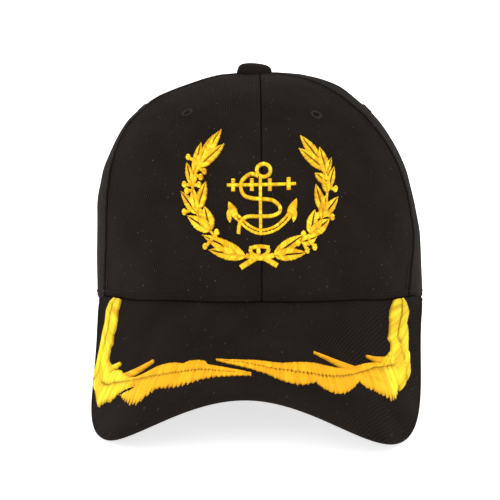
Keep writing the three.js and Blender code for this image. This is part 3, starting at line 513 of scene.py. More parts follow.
def crown_share(angle, up):
    """Share of the hem's half sizes that the crown has at an angle and a share of the way up."""
    side = SECTION["right" if math.sin(angle) > 0 else "left"](up)
    end = SECTION["front" if math.cos(angle) > 0 else "back"](up)
    forward = math.cos(angle) ** 2
    round_share = side * (1 - forward) + end * forward
    degrees = math.degrees(math.atan2(math.sin(angle), math.cos(angle)))
    flat = panel_flatness(degrees, up) * min(SECTION["height"](up) * 2, 1)
    return round_share * (1 - flat) - dent_depth(degrees, up) * min(round_share * 2, 1)


def crown_own(angle, up, inset=0.0):
    share = crown_share(angle, up)
    y = -(HALF_LENGTH - inset) * math.cos(angle) * share + APEX_BACK * (1 - share)
    hem = hem_height(angle, y)
    z = hem + (CROWN_HEIGHT - inset - hem) * SECTION["height"](up)
    return Vector(((HALF_WIDTH - inset) * math.sin(angle) * share, y, z))


def crown_point(angle, up, inset=0.0):
    """Point on the crown, inset from its outer face; a negative inset stands proud of it."""
    return Stance.matrix @ crown_own(angle, up, inset)


# Surfaces of the visor

def visor_curve(x, y, settled):
    turn = VISOR_SWING * settled
    across = x * math.cos(turn) - y * math.sin(turn) - VISOR_SHIFT * settled
    along = x * math.sin(turn) + y * math.cos(turn)
    bend = across * across / (2 * VISOR_BEND_RADIUS * math.cos(VISOR_SLOPE))
    return VISOR_RISE + math.tan(VISOR_SLOPE) * (HALF_LENGTH + along) - bend


def visor_height(x, y):
    share = math.hypot(x / HALF_WIDTH, y / HALF_LENGTH)
    hem = hem_height(math.atan2(x / HALF_WIDTH, -y / HALF_LENGTH), y)
    if share < 1:
        return hem - VISOR_GAP
    settled = smoothstep(share, 1, 1 + VISOR_BLEND)
    offset = hem - visor_curve(x / share, y / share, 0)
    return visor_curve(x, y, settled) + offset * (1 - settled) - VISOR_GAP


def rounded(value, roundness):
    return math.copysign(abs(value) ** (2 / roundness), value)


def visor_outline(turn):
    x = VISOR_HALF_WIDTH * rounded(math.sin(turn), VISOR_SIDE_ROUNDNESS)
    depth = HALF_LENGTH + VISOR_REACH - VISOR_SHOULDER
    y = -(VISOR_SHOULDER + depth * rounded(math.cos(turn), VISOR_FRONT_ROUNDNESS))
    swing = -VISOR_SWING
    return Vector((
        x * math.cos(swing) - y * math.sin(swing) + VISOR_SHIFT,
        x * math.sin(swing) + y * math.cos(swing),
    ))


def outline_end(sign):
    """Turn at which the visor's outline meets the hem, on the side of the given sign."""
    outside, inside = math.radians(75), math.radians(120)
    for _ in range(40):
        middle = (outside + inside) / 2
        plan = visor_outline(sign * middle)
        if math.hypot(plan.x / HALF_WIDTH, plan.y / HALF_LENGTH) > 1:
            outside = middle
        else:
            inside = middle
    return sign * outside


def hem_angle_of(plan):
    return math.atan2(plan.x / HALF_WIDTH, -plan.y / HALF_LENGTH)


OUTLINE_STEPS = 400
OUTLINE_TURNS = [lerp(outline_end(-1), outline_end(1), i / OUTLINE_STEPS) for i in range(OUTLINE_STEPS + 1)]
OUTLINE_LENGTHS = [0.0]
for first, second in zip(OUTLINE_TURNS, OUTLINE_TURNS[1:]):
    OUTLINE_LENGTHS.append(OUTLINE_LENGTHS[-1] + (visor_outline(second) - visor_outline(first)).length)
OUTLINE_TURN = Sampled(lambda length: between(OUTLINE_LENGTHS, OUTLINE_TURNS, length), 0, OUTLINE_LENGTHS[-1])
VISOR_HEM_LEFT = hem_angle_of(visor_outline(OUTLINE_TURNS[0]))
VISOR_HEM_RIGHT = hem_angle_of(visor_outline(OUTLINE_TURNS[-1]))


def visor_own(along, out, inset=0.0):
    edge = visor_outline(OUTLINE_TURN(along * OUTLINE_LENGTHS[-1]))
    angle = lerp(VISOR_HEM_LEFT, VISOR_HEM_RIGHT, along)
    hem = Vector(((HALF_WIDTH - inset) * math.sin(angle), -(HALF_LENGTH - inset) * math.cos(angle)))
    plan = hem.lerp(edge, out)
    return Vector((plan.x, plan.y, visor_height(plan.x, plan.y)))


def visor_normal(along, out, inset=0.0):
    step = 1e-3
    across = visor_own(along + step, out, inset) - visor_own(along - step, out, inset)
    forward = visor_own(along, out + step, inset) - visor_own(along, out - step, inset)
    normal = across.cross(forward).normalized()
    return -normal if normal.z < 0 else normal


def visor_point(along, out, lift=0.0, inset=0.0):
    """Point over the visor's upper face by a lift along its normal; a negative lift is inside it."""
    return Stance.matrix @ (visor_own(along, out, inset) + visor_normal(along, out, inset) * lift)


def settle():
    """Works out how the cap leans and where it stands, from the visor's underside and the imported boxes."""
    rows = (0, 0.07, 0.15, 0.24, 0.34, 0.44, 0.55, 0.7, 0.85, 0.965, 1)
    points = []
    for i in range(39):
        for out in rows:
            depth = VISOR_THICKNESS - (VISOR_EDGE_ROUNDING if out == 1 else 0)
            upper = visor_own(i / 38, out, WALL)
            points.append(upper - visor_normal(i / 38, out, WALL) * depth)
            points.append(upper - visor_normal(i / 38, out, WALL) * (VISOR_THICKNESS - depth))
    Stance.lean = max(math.atan2(-point.z, HALF_LENGTH - point.y) for point in points)
    turn = Matrix.Rotation(-Stance.lean, 4, "X")
    turned = [turn @ point for point in points]
    low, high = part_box("visor")
    middle = (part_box("crown_button")[0].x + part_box("crown_button")[1].x) / 2 - BUTTON_SHIFT
    shift = Vector((middle, low.y - min(p.y for p in turned), low.z - min(p.z for p in turned)))
    Stance.matrix = Matrix.Translation(shift) @ turn


settle()


# Cloth coordinates of the crown's front: metres across from the centre seam and up from the hem
CLOTH_STEPS = 200
CLOTH_HEIGHTS = [0.0]
for step in range(CLOTH_STEPS):
    rise = crown_own(0, (step + 1) / CLOTH_STEPS) - crown_own(0, step / CLOTH_STEPS)
    CLOTH_HEIGHTS.append(CLOTH_HEIGHTS[-1] + rise.length)
CLOTH_SHARES = [step / CLOTH_STEPS for step in range(CLOTH_STEPS + 1)]
CLOTH_SHARE = Sampled(lambda up: between(CLOTH_HEIGHTS, CLOTH_SHARES, up), 0, CLOTH_HEIGHTS[-1])
CLOTH_HEIGHT = Sampled(lambda share: between(CLOTH_SHARES, CLOTH_HEIGHTS, share), 0, 1)


def emblem_cloth(across, up, lift):
    """Point over the crown's front, in hundredths of the emblem's width."""
    share = CLOTH_SHARE(up * EMBLEM_UNIT)
    angle = across * EMBLEM_UNIT / (HALF_WIDTH * SECTION["front"](share))
    return crown_point(angle, share, -lift)


# Meshes

def dense_ends(share, strength):
    """Shares packed closer together at both ends."""
    return share - strength * math.sin(2 * math.pi * share) / (2 * math.pi)


def dense_start(share, strength):
    return share - strength * math.sin(math.pi * share) / math.pi


def lay_grid(bm, columns, rows, place):
    """A grid whose points are placed by their shares across and up. Returns the shares of each vertex."""
    made = bmesh.ops.create_grid(bm, x_segments=columns, y_segments=rows, size=0.5)["verts"]
    shares = {vert: (vert.co.x + 0.5, vert.co.y + 0.5) for vert in made}
    for vert, (across, up) in shares.items():
        vert.co = place(across, up)
    return shares


def close_tube(bm, shares):
    """Joins a grid's first and last rows, which lie in one place, and fills its two ends."""
    bmesh.ops.remove_doubles(bm, verts=list(shares), dist=1e-7)
    kept = [vert for vert in shares if vert.is_valid]
    rims = {edge for vert in kept for edge in vert.link_edges if edge.is_boundary}
    bmesh.ops.holes_fill(bm, edges=list(rims), sides=0)


# No painted shade of seams or a hem, for pieces that have none.
def no_fold_shade(across, up):
    return 0.0


def cloth_wall(columns, rows, outer, inner, cloth, cut=None, fold_shade=no_fold_shade):
    """A closed wall of cloth between two faces. Its UV maps hold the cloth's own coordinates, in metres, and
    how much painted shade each place gets by how deep in a seam or at the hem it lies."""
    bm = bmesh.new()
    across_layer = bm.verts.layers.float.new("across")
    up_layer = bm.verts.layers.float.new("up")
    shares = lay_grid(bm, columns, rows, outer)
    for vert, (across, up) in shares.items():
        vert[across_layer] = across
        vert[up_layer] = up
    if cut:
        gone = [face for face in bm.faces if cut(face.calc_center_median())]
        bmesh.ops.delete(bm, geom=gone, context="FACES")
    copied = bmesh.ops.extrude_face_region(bm, geom=bm.faces[:], use_keep_orig=True)["geom"]
    for vert in (item for item in copied if isinstance(item, bmesh.types.BMVert)):
        vert.co = inner(vert[across_layer], vert[up_layer])
    uv = bm.loops.layers.uv.new("cloth")
    fold_shade_uv = bm.loops.layers.uv.new("fold_shade")
    for vert in bm.verts:
        place = (vert[across_layer], vert[up_layer])
        # depth is how much painted shade the place gets in a seam or at the hem
        on_cloth, depth = cloth(*place), fold_shade(*place)
        for loop in vert.link_loops:
            loop[uv].uv = on_cloth
            loop[fold_shade_uv].uv = (depth, 0)
    return bm


def finish_piece(name, bm, material, nodes, sharp=60):
    """Makes a named object of a mesh, which rides on the cap and stands for the named CAD nodes."""
    bmesh.ops.recalc_face_normals(bm, faces=bm.faces[:])
    for vert in bm.verts:
        vert.co.z = max(vert.co.z, 0)
    mesh = bpy.data.meshes.new(name)
    bm.to_mesh(mesh)
    bm.free()
    mesh.polygons.foreach_set("use_smooth", [True] * len(mesh.polygons))
    mesh.set_sharp_from_angle(angle=math.radians(sharp))
    mesh.materials.append(material)
    piece = bpy.data.objects.new(name, mesh)
    bpy.context.scene.collection.objects.link(piece)
    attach(piece, "root")
    if nodes:
        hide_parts(*nodes)
    return piece


# Materials

class Value:
    """A number in a material: arithmetic on it adds Math nodes."""

    def __init__(self, shade, socket):
        self.shade = shade
        self.socket = socket

    def math(self, operation, *others):
        values = [other.socket if isinstance(other, Value) else other for other in others]
        inputs = dict(enumerate([self.socket, *values]))
        node = self.shade.node("ShaderNodeMath", {"operation": operation}, inputs)
        return Value(self.shade, node.outputs[0])

    def __add__(self, other):
        return self.math("ADD", other)

    def __sub__(self, other):
        return self.math("SUBTRACT", other)

    def __mul__(self, other):
        return self.math("MULTIPLY", other)

    def __rsub__(self, other):
        return (self * -1) + other

    __radd__ = __add__
    __rmul__ = __mul__

    def sine(self):
        return self.math("SINE")

    def floor(self):
        return self.math("FLOOR")

    def absolute(self):
        return self.math("ABSOLUTE")

    def ramp(self, low, high):
        """0 below low, 1 above high, smooth between."""
        settings = {"interpolation_type": "SMOOTHSTEP"}
        inputs = {"Value": self.socket, "From Min": low, "From Max": high}
        return Value(self.shade, self.shade.node("ShaderNodeMapRange", settings, inputs).outputs[0])


class Shade:
    """A material under construction."""

    def __init__(self, name):
        self.material = bpy.data.materials.new(name)
        self.material.use_nodes = True
        self.tree = self.material.node_tree
        self.tree.nodes.clear()

    def node(self, kind, settings=None, inputs=None):
        made = self.tree.nodes.new(kind)
        for key, value in (settings or {}).items():
            setattr(made, key, value)
        for key, value in (inputs or {}).items():
            if isinstance(value, Value):
                value = value.socket
            if isinstance(value, bpy.types.NodeSocket):
                self.tree.links.new(value, made.inputs[key])
            else:
                made.inputs[key].default_value = value
        return made

    def uv(self, name):
        return self.node("ShaderNodeUVMap", {"uv_map": name}).outputs[0]

    def place(self):
        return self.node("ShaderNodeTexCoord").outputs["Object"]

    def parts(self, vector):
        node = self.node("ShaderNodeSeparateXYZ", inputs={0: vector})
        return [Value(self, socket) for socket in node.outputs]

    def noise(self, vector, scale, detail=2.0):
        node = self.node("ShaderNodeTexNoise", inputs={"Vector": vector, "Scale": scale, "Detail": detail})
        return Value(self, node.outputs[0])

    def chance(self, value):
        """A number between 0 and 1 that jumps at random from one value to the next."""
        node = self.node("ShaderNodeTexWhiteNoise", {"noise_dimensions": "1D"}, {"W": value})
        return Value(self, node.outputs["Value"])

    def mix(self, factor, first, second):
        inputs = {0: factor, 6: first, 7: second}
        return self.node("ShaderNodeMix", {"data_type": "RGBA"}, inputs).outputs[2]

    def bump(self, height, strength, distance):
        inputs = {"Height": height, "Strength": strength, "Distance": distance}
        return self.node("ShaderNodeBump", inputs=inputs).outputs[0]

    def cloth(self, colour, roughness, normal, **constants):
        inputs = {"Base Color": colour, "Roughness": roughness, "Normal": normal}
        inputs.update({key.replace("_", " "): value for key, value in constants.items()})
        shader = self.node("ShaderNodeBsdfPrincipled", inputs=inputs)
        self.node("ShaderNodeOutputMaterial", inputs={"Surface": shader.outputs[0]})
        return self.material


def opaque(colour):
    return (*colour, 1.0)


def twill_material(detail, colours):
    """Black cotton twill: diagonal wales of short floats, a little lint, on the cloth's own coordinates, with
    painted shade in the seams and along the hem.
    """
    shade = Shade("twill_black")
    cloth = shade.uv("cloth")
    u, v, _ = shade.parts(cloth)
    wander = (shade.noise(cloth, 90) - 0.5) * 0.0014 + (shade.noise(cloth, 700) - 0.5) * 0.0005
    lean = math.radians(detail.twill_angle)
    diagonal = u * math.cos(lean) + v * math.sin(lean) + wander
    wale = (diagonal * (2 * math.pi / detail.twill_pitch)).sine()
    along_wale = u * math.sin(lean) - v * math.cos(lean)
    floats = (along_wale * (2 * math.pi / (detail.twill_pitch * 0.62))).sine()
    fuzz = shade.noise(cloth, 2600, 3.0)
    brushed = shade.noise(cloth, 32).ramp(0.36, 0.62)
    height = wale * (0.42 - brushed * 0.34) + floats * 0.16 + fuzz * 0.9
    patches = shade.noise(cloth, 45, 3.0)
    light = (height * 0.56 + patches * 0.62 - 0.105).ramp(0.05, 0.85)
    base = shade.mix(light, opaque(colours.twill_dark), opaque(colours.twill_light))
    lint = shade.noise(cloth, 620, 1.0).ramp(0.71, 0.78) * 0.4
    base = shade.mix(lint, base, opaque(colours.lint))
    # Painted shade: the cloth is darkened to near black in the seams and along the hem, where shade falls in
    # the creases.
    fold_shade, _, _ = shade.parts(shade.uv("fold_shade"))
    base = shade.mix(fold_shade, base, opaque([channel * 0.15 for channel in colours.twill_dark]))
    return shade.cloth(base, 0.9, shade.bump(height, 0.55, 0.0003), Specular_IOR_Level=0.05)


def band_material(colours):
    """Plain woven cotton of the sweatband."""
    thread = 2 * math.pi / BAND_THREAD_PITCH
    shade = Shade("band_black")
    cloth = shade.uv("cloth")
    u, v, _ = shade.parts(cloth)
    height = (u * thread).sine() * (v * thread).sine() * 0.5 + shade.noise(cloth, 2200) * 0.5
    base = shade.mix(height.ramp(-0.3, 1), opaque(colours.twill_dark), opaque(colours.twill_light))
    return shade.cloth(base, 0.93, shade.bump(height, 0.5, 0.0002), Specular_IOR_Level=0.05)


def thread_material(name, colours, spread, painted_reflection_blend, contrast):
    """Embroidery thread. The stitch map counts stitches along a run, and goes from rim to rim across it. The
    gold turns deeper from stitch to stitch, and towards the middle of the cap as a painted reflection; beside
    a vein it is lighter as a painted highlight, and in the grooves between stitches and at a run's rims
    darker as painted shade."""
    shade = Shade(name)
    place = shade.place()
    along, across, _ = shade.parts(shade.uv("stitch"))
    number = along.floor()
    # Painted shade in the grooves between stitches.
    groove = (along - number - 0.5).absolute().ramp(0.28, 0.5)
    single = shade.chance(number)
    group = shade.chance((along * 0.31).floor())
    # Painted shade at both rims of a run, where the satin curves away.
    rim = (across - 0.5).absolute().ramp(0.12, 0.5)
    x, _, _ = shade.parts(place)
    # Painted reflection: the gold deepens to orange towards the cap's middle.
    middle = 1 - ((x + 0.003).absolute() * (1 / spread)).ramp(0.72, 1)
    # Painted highlight: the stitches beside a vein are lighter.
    vein_highlight = 1 - across.ramp(0.02, 0.3)
    tone = single * 0.25 + group * 0.3 + shade.noise(place, 120) * 0.5 - vein_highlight * 0.45
    # Deeper gold: at random from stitch to stitch, plus the painted reflection at the middle, less the
    # painted highlight beside a vein.
    deep_tone_and_painted_light = (middle * painted_reflection_blend + tone - 0.35).ramp(0, 1)
    base = shade.mix(deep_tone_and_painted_light, opaque(colours.gold), opaque(colours.gold_deep))
    # Painted shade in the grooves and at the rims, with darker stitches at random, mixed towards the gold
    # shade colour.
    painted_shade_and_dark_tone = (groove * 0.36 + single * 0.22 + group * 0.26 + rim * 0.5 - 0.1) * contrast
    base = shade.mix(painted_shade_and_dark_tone, base, opaque(colours.gold_shade))
    normal = shade.bump(shade.noise(place, 4200, 3.0), 0.2, 0.0002)
    return shade.cloth(base, 0.6, normal, Specular_IOR_Level=0.18)


def plain_thread_material(name, colour):
    shade = Shade(name)
    place = shade.place()
    fibre = shade.noise(place, 3500, 3.0)
    base = shade.mix(fibre, opaque([channel * 0.6 for channel in colour]), opaque(colour))
    return shade.cloth(base, 0.7, shade.bump(fibre, 0.4, 0.0002), Specular_IOR_Level=0.12)


class Cloths:
    """The materials, made once and shared by the pieces."""

    made = {}

    @classmethod
    def get(cls, name):
        if name not in cls.made:
            detail, colours = bpy.context.scene.cap_detail, bpy.context.scene.cap_colours
            makers = {
                "twill": lambda: twill_material(detail, colours),
                "band": lambda: band_material(colours),
                "black_thread": lambda: plain_thread_material("thread_black", colours.black_thread),
                "eyelet_thread": lambda: plain_thread_material("thread_eyelet", colours.eyelet_thread),
                # For each thread: the spread and strength of the painted reflection at the middle, and the
                # strength of the painted shade and darker random stitches.
                "emblem_thread": lambda: thread_material("thread_gold", colours, 0.06, 0.35, 1.7),
                "visor_thread": lambda: thread_material("thread_gold_visor", colours, 0.07, 0.85, 1.15),
            }
            cls.made[name] = makers[name]()
        return cls.made[name]


# Relief of the sewn cloth

def seam_relief(from_seam, along, groove, detail):
    """Depth of the cloth near a seam: rolled in, raised over its allowance, pulled in at the stitches."""
    rolled = detail.seam_depth * bell(from_seam, groove)
    allowance = -ALLOWANCE_HEIGHT * bell(from_seam - ALLOWANCE_MIDDLE, ALLOWANCE_SPREAD)
    stitched = STITCH_DENT * bell(from_seam - detail.stitch_offset, STITCH_SPREAD)
    pull = math.sin(2 * math.pi * along / detail.stitch_length) * 0.5 + 0.5
    wave = math.sin(2 * math.pi * along / PUCKER_LENGTH + 2 * math.sin(along * 170))
    pucker = wave * math.exp(-from_seam / PUCKER_REACH)
    return rolled + allowance + stitched * (0.5 + pull * 0.5) - detail.pucker * pucker * (from_seam > 0.0005)


def soft_relief(point, detail):
    """Slow unevenness of the cloth all over."""
    slow = noise.noise(point * 28)
    quick = noise.noise(point * 90)
    return detail.softness * (slow + 0.28 * quick)


def panel_top():
    up = 1.0
    clear = BUTTON_PIN_RADIUS + 2 * SEAM_GAP
    while min(crown_share(0, up), crown_share(math.pi, up)) * HALF_WIDTH < clear:
        up -= 0.001
    return up


PANEL_TOP = panel_top()


def arch_distance(x, z):
    """Distance outside the arch at the back, across and up in the cap's own frame; negative inside."""
    springing = ARCH_HEIGHT - ARCH_HALF_WIDTH
    if z > springing:
        return math.hypot(x, z - springing) - ARCH_HALF_WIDTH
    return abs(x) - ARCH_HALF_WIDTH


class PanelShape:
    """One of the six panels: from shares across and up it to points, with its seams, hem and arch."""

    def __init__(self, index, detail):
        self.index = index
        self.detail = detail
        self.backs = PANELS[index].startswith("back")
        self.starts = {}

    def angle(self, across, up):
        seams = seams_at(up)
        return math.radians(lerp(seams[self.index], seams[self.index + 1], across))

    def start(self, across):
        """Share of the way up at which the panel starts: at the hem, or over the arch at the back."""
        if not self.backs:
            return 0.0
        key = round(across, 5)
        if key not in self.starts:
            low = 0.0
            point = crown_own(self.angle(across, low), low)
            if arch_distance(point.x, point.z) < 0:
                high = 0.7
                for _ in range(18):
                    middle = (low + high) / 2
                    point = crown_own(self.angle(across, middle), middle)
                    low, high = (middle, high) if arch_distance(point.x, point.z) < 0 else (low, middle)
            self.starts[key] = low
        return self.starts[key]

    def place(self, across, rise):
        across = dense_ends(across, 0.8)
        low = self.start(across)
        return across, lerp(low, PANEL_TOP, dense_start(rise, 0.7))

    def width(self, up):
        seams = seams_at(up)
        middle = math.radians((seams[self.index] + seams[self.index + 1]) / 2)
        return math.radians(seams[self.index + 1] - seams[self.index]) * crown_share(middle, up) * HALF_WIDTH

    def outer(self, across_share, rise):
        across, up = self.place(across_share, rise)
        angle = self.angle(across, up)
        own = crown_own(angle, up)
        width = self.width(up)
        along = CLOTH_HEIGHT(up)
        from_seam = min(across, 1 - across) * width
        inset = seam_relief(from_seam, along, self.groove(across), self.detail)
        from_edge = along
        if self.backs:
            from_edge = min(from_edge, abs(arch_distance(own.x, own.z)))
        inset += HEM_ROLL * bell(from_edge, HEM_ROLL)
        inset += HEM_DENT * bell(from_edge - HEM_STITCHES, STITCH_SPREAD)
        calm = min(from_seam / CALM_BY_SEAM, 1) * min(from_edge / CALM_BY_EDGE, 1)
        inset -= soft_relief(own, self.detail) * calm
        return crown_point(angle, up, inset) + self.hem_drop(angle, along)

    def inner(self, across_share, rise):
        across, up = self.place(across_share, rise)
        angle = self.angle(across, up)
        return crown_point(angle, up, WALL) + self.hem_drop(angle, CLOTH_HEIGHT(up))

    def groove(self, across):
        """Half width of the groove at the nearest seam: narrow at the front's middle, wider at the others."""
        return FRONT_SEAM_GROOVE if self.index + (across > 0.5) == 3 else SEAM_GROOVE

    def fold_shade(self, across_share, rise):
        """How much painted shade the cloth gets where it lies deep in a fold: 1 in a seam or at the hem; the
        front's seam fades downwards.
        """
        across, up = self.place(across_share, rise)
        from_seam = min(across, 1 - across) * self.width(up)
        at_seam = bell(from_seam, 1.1 * self.groove(across))
        if self.groove(across) == FRONT_SEAM_GROOVE:
            at_seam *= lerp(0.2, 0.6, smoothstep(up, 0.45, 0.7))
        return max(at_seam, bell(CLOTH_HEIGHT(up), HEM_ROLL))

    @staticmethod
    def hem_drop(angle, along):
        """The front's hem is sewn down onto the visor."""
        front = smoothstep(math.cos(angle), -0.25, 0.0)
        return Vector((0, 0, -HEM_DROP * front * bell(along, 0.002)))

    def cloth(self, across_share, rise):
        across, up = self.place(across_share, rise)
        return (across - 0.5) * self.width(up), CLOTH_HEIGHT(up)

    def cut_size(self):
        """Width, length and area of the flat piece of cloth that the panel was cut as."""
        steps = 100
        widths = []
        area = 0.0
        for i in range(steps):
            up = (i + 0.5) / steps * PANEL_TOP
            rise = CLOTH_HEIGHT(up + 0.5 * PANEL_TOP / steps) - CLOTH_HEIGHT(up - 0.5 * PANEL_TOP / steps)
            widths.append(self.width(up))
            open_share = sum(self.start(k / 40) > up for k in range(41)) / 41
            area += widths[-1] * rise * (1 - open_share)
        return max(widths), CLOTH_HEIGHT(PANEL_TOP), area


def stitch_row(bm, path, length, detail):
    """A row of stitches as one thread that rises and dips through the cloth. path gives a point for a share
    of the way, a sideways step and a lift."""
    stitches = max(2, round(length / detail.stitch_length))

    def place(along, around):
        swing = abs(math.sin(math.pi * along * stitches))
        lift = THREAD_RADIUS * (1.5 * swing ** 0.5 - 1.0)
        turn = 2 * math.pi * around
        return path(along, -math.cos(turn) * THREAD_RADIUS, lift + math.sin(turn) * THREAD_RADIUS)

    close_tube(bm, lay_grid(bm, stitches * 6, 6, place))


class PieceOperator(bpy.types.Operator):
    """Shared by the operators of the cap's pieces"""

    bl_options = {"REGISTER", "UNDO"}

    @staticmethod
    def detail():
        return bpy.context.scene.cap_detail


class CAP_OT_panels(PieceOperator):
    """Makes the crown's six twill panels"""

    bl_idname = "cap.panels"
    bl_label = "Crown Panels"

    def execute(self, context):
        detail = self.detail()
        for index, name in enumerate(PANELS):
            shape = PanelShape(index, detail)
            angle, up = next((angle, up) for eyelet, angle, up in EYELETS if eyelet == name)
            eyelet = crown_point(math.radians(angle), up)

            def cut(centre, eyelet=eyelet):
                return (centre - eyelet).length < EYELET_RADIUS * EYELET_CUT

            cells = (detail.panel_columns, detail.panel_rows)
            bm = cloth_wall(*cells, shape.outer, shape.inner, shape.cloth, cut, shape.fold_shade)
            nodes = ["crown_" + name]
            piece = finish_piece("panel_" + name, bm, Cloths.get("twill"), nodes, 40)
            width, length, area = shape.cut_size()
        return {"FINISHED"}


class CAP_OT_seams(PieceOperator):
    """Makes the topstitching beside the seams and along the hem"""

    bl_idname = "cap.seams"
    bl_label = "Seam Stitches"

    def execute(self, context):
        bm = bmesh.new()
        for seam in range(1, 7):
            for side in (-1, 1):
                self.sew_seam(bm, seam, side)
        self.sew_hem(bm)
        finish_piece("crown_stitches", bm, Cloths.get("black_thread"), [], 80)
        return {"FINISHED"}

    def sew_seam(self, bm, seam, side):
        detail = self.detail()
        low = SEAM_ROW_START
        if seam == 6:
            while arch_distance(0, crown_own(math.pi, low).z) < ARCH_CLEARANCE:
                low += 0.002
        high = PANEL_TOP - SEAM_ROW_STOP

        def path(along, sideways, lift):
            up = lerp(low, high, along)
            radius = crown_share(math.radians(seams_at(up)[seam]), up) * HALF_WIDTH
            angle = math.radians(seams_at(up)[seam]) + (side * detail.stitch_offset + sideways) / radius
            return crown_point(angle, up, SEAM_THREAD_DEPTH - lift)

        stitch_row(bm, path, CLOTH_HEIGHT(high) - CLOTH_HEIGHT(low), detail)

    def sew_hem(self, bm):
        end = math.pi - math.asin((ARCH_HALF_WIDTH + ARCH_CLEARANCE) / HALF_WIDTH)

        def path(along, sideways, lift):
            angle = lerp(-end, end, along)
            return crown_point(angle, CLOTH_SHARE(HEM_STITCHES + sideways), EDGE_THREAD_DEPTH - lift)

        stitch_row(bm, path, 2 * end * HALF_LENGTH, self.detail())


class CAP_OT_button(PieceOperator):
    """Makes the covered button on the crown's top"""

    bl_idname = "cap.button"
    bl_label = "Button"

    def execute(self, context):
        bm = bmesh.new()
        verts = [bm.verts.new((share * BUTTON_RADIUS, 0, height)) for share, height in BUTTON_SECTION]
        edges = [bm.edges.new(pair) for pair in zip(verts, verts[1:])]
        bmesh.ops.spin(
            bm, geom=verts + edges, cent=(0, 0, 0), axis=(0, 0, 1), angle=2 * math.pi,
            steps=64, use_merge=True,
        )
        bmesh.ops.remove_doubles(bm, verts=bm.verts[:], dist=1e-6)
        for vert in bm.verts:
            turn = math.atan2(vert.co.y, vert.co.x)
            rim = smoothstep(math.hypot(vert.co.x, vert.co.y), BUTTON_RADIUS * 0.75, BUTTON_RADIUS)
            low = 1 - smoothstep(vert.co.z, -0.001, 0.002)
            pleat = math.sin(turn * BUTTON_PLEATS + math.sin(turn * 3)) * BUTTON_PLEAT_DEPTH * low * rim
            vert.co += Vector((math.cos(turn), math.sin(turn), 0)) * (pleat - BUTTON_UNEVENNESS * rim)
            vert.co.z += noise.noise(vert.co * 160) * BUTTON_UNEVENNESS
        uv = bm.loops.layers.uv.new("cloth")
        for face in bm.faces:
            for loop in face.loops:
                loop[uv].uv = (loop.vert.co.x, loop.vert.co.y + loop.vert.co.z)
        # An empty map of painted seam shade: the button gets none.
        bm.loops.layers.uv.new("fold_shade")
        tilt = Matrix.Rotation(BUTTON_TILT, 4, "Y")
        place = Stance.matrix @ Matrix.Translation((BUTTON_SHIFT, APEX_BACK, CROWN_HEIGHT - 0.0002)) @ tilt
        bmesh.ops.transform(bm, matrix=place, verts=bm.verts[:])
        finish_piece("button_cloth", bm, Cloths.get("twill"), ["crown_button"])
        return {"FINISHED"}


class CAP_OT_eyelets(PieceOperator):
    """Makes the six sewn eyelets"""

    bl_idname = "cap.eyelets"
    bl_label = "Eyelets"

    def execute(self, context):
        for name, degrees, up in EYELETS:
            angle = math.radians(degrees)
            centre = crown_point(angle, up)
            across = crown_point(angle + 0.01, up) - crown_point(angle - 0.01, up)
            rise = crown_point(angle, up + 0.004) - crown_point(angle, up - 0.004)
            outward = across.cross(rise).normalized()
            turn = Vector((0, 0, 1)).rotation_difference(outward).to_matrix().to_4x4()
            bm = self.ring()
            bmesh.ops.transform(bm, matrix=Matrix.Translation(centre) @ turn, verts=bm.verts[:])
            thread = Cloths.get("eyelet_thread")
            finish_piece("eyelet_thread_" + name, bm, thread, ["eyelet_" + name], 80)
        return {"FINISHED"}

    @staticmethod
    def ring():
        """A ring of satin stitches round the hole, on both faces of the cloth."""
        outside = EYELET_RADIUS + EYELET_SPREAD
        middle = (outside + EYELET_HOLE_RADIUS) / 2
        half_width = (outside - EYELET_HOLE_RADIUS) / 2
        half_height = WALL / 2 + EYELET_RISE

        def place(along, around):
            turn = 2 * math.pi * along
            section = 2 * math.pi * around
            thread = 1 - 0.1 * (1 - abs(math.cos(math.pi * along * EYELET_STITCHES)))
            radius = middle + half_width * math.cos(section) * thread
            height = half_height * math.copysign(abs(math.sin(section)) ** 0.7, math.sin(section)) * thread
            return Vector((radius * math.cos(turn), radius * math.sin(turn), height - WALL / 2))

        bm = bmesh.new()
        lay_grid(bm, EYELET_STITCHES * 4, 14, place)
        bmesh.ops.remove_doubles(bm, verts=bm.verts[:], dist=1e-6)
        return bm


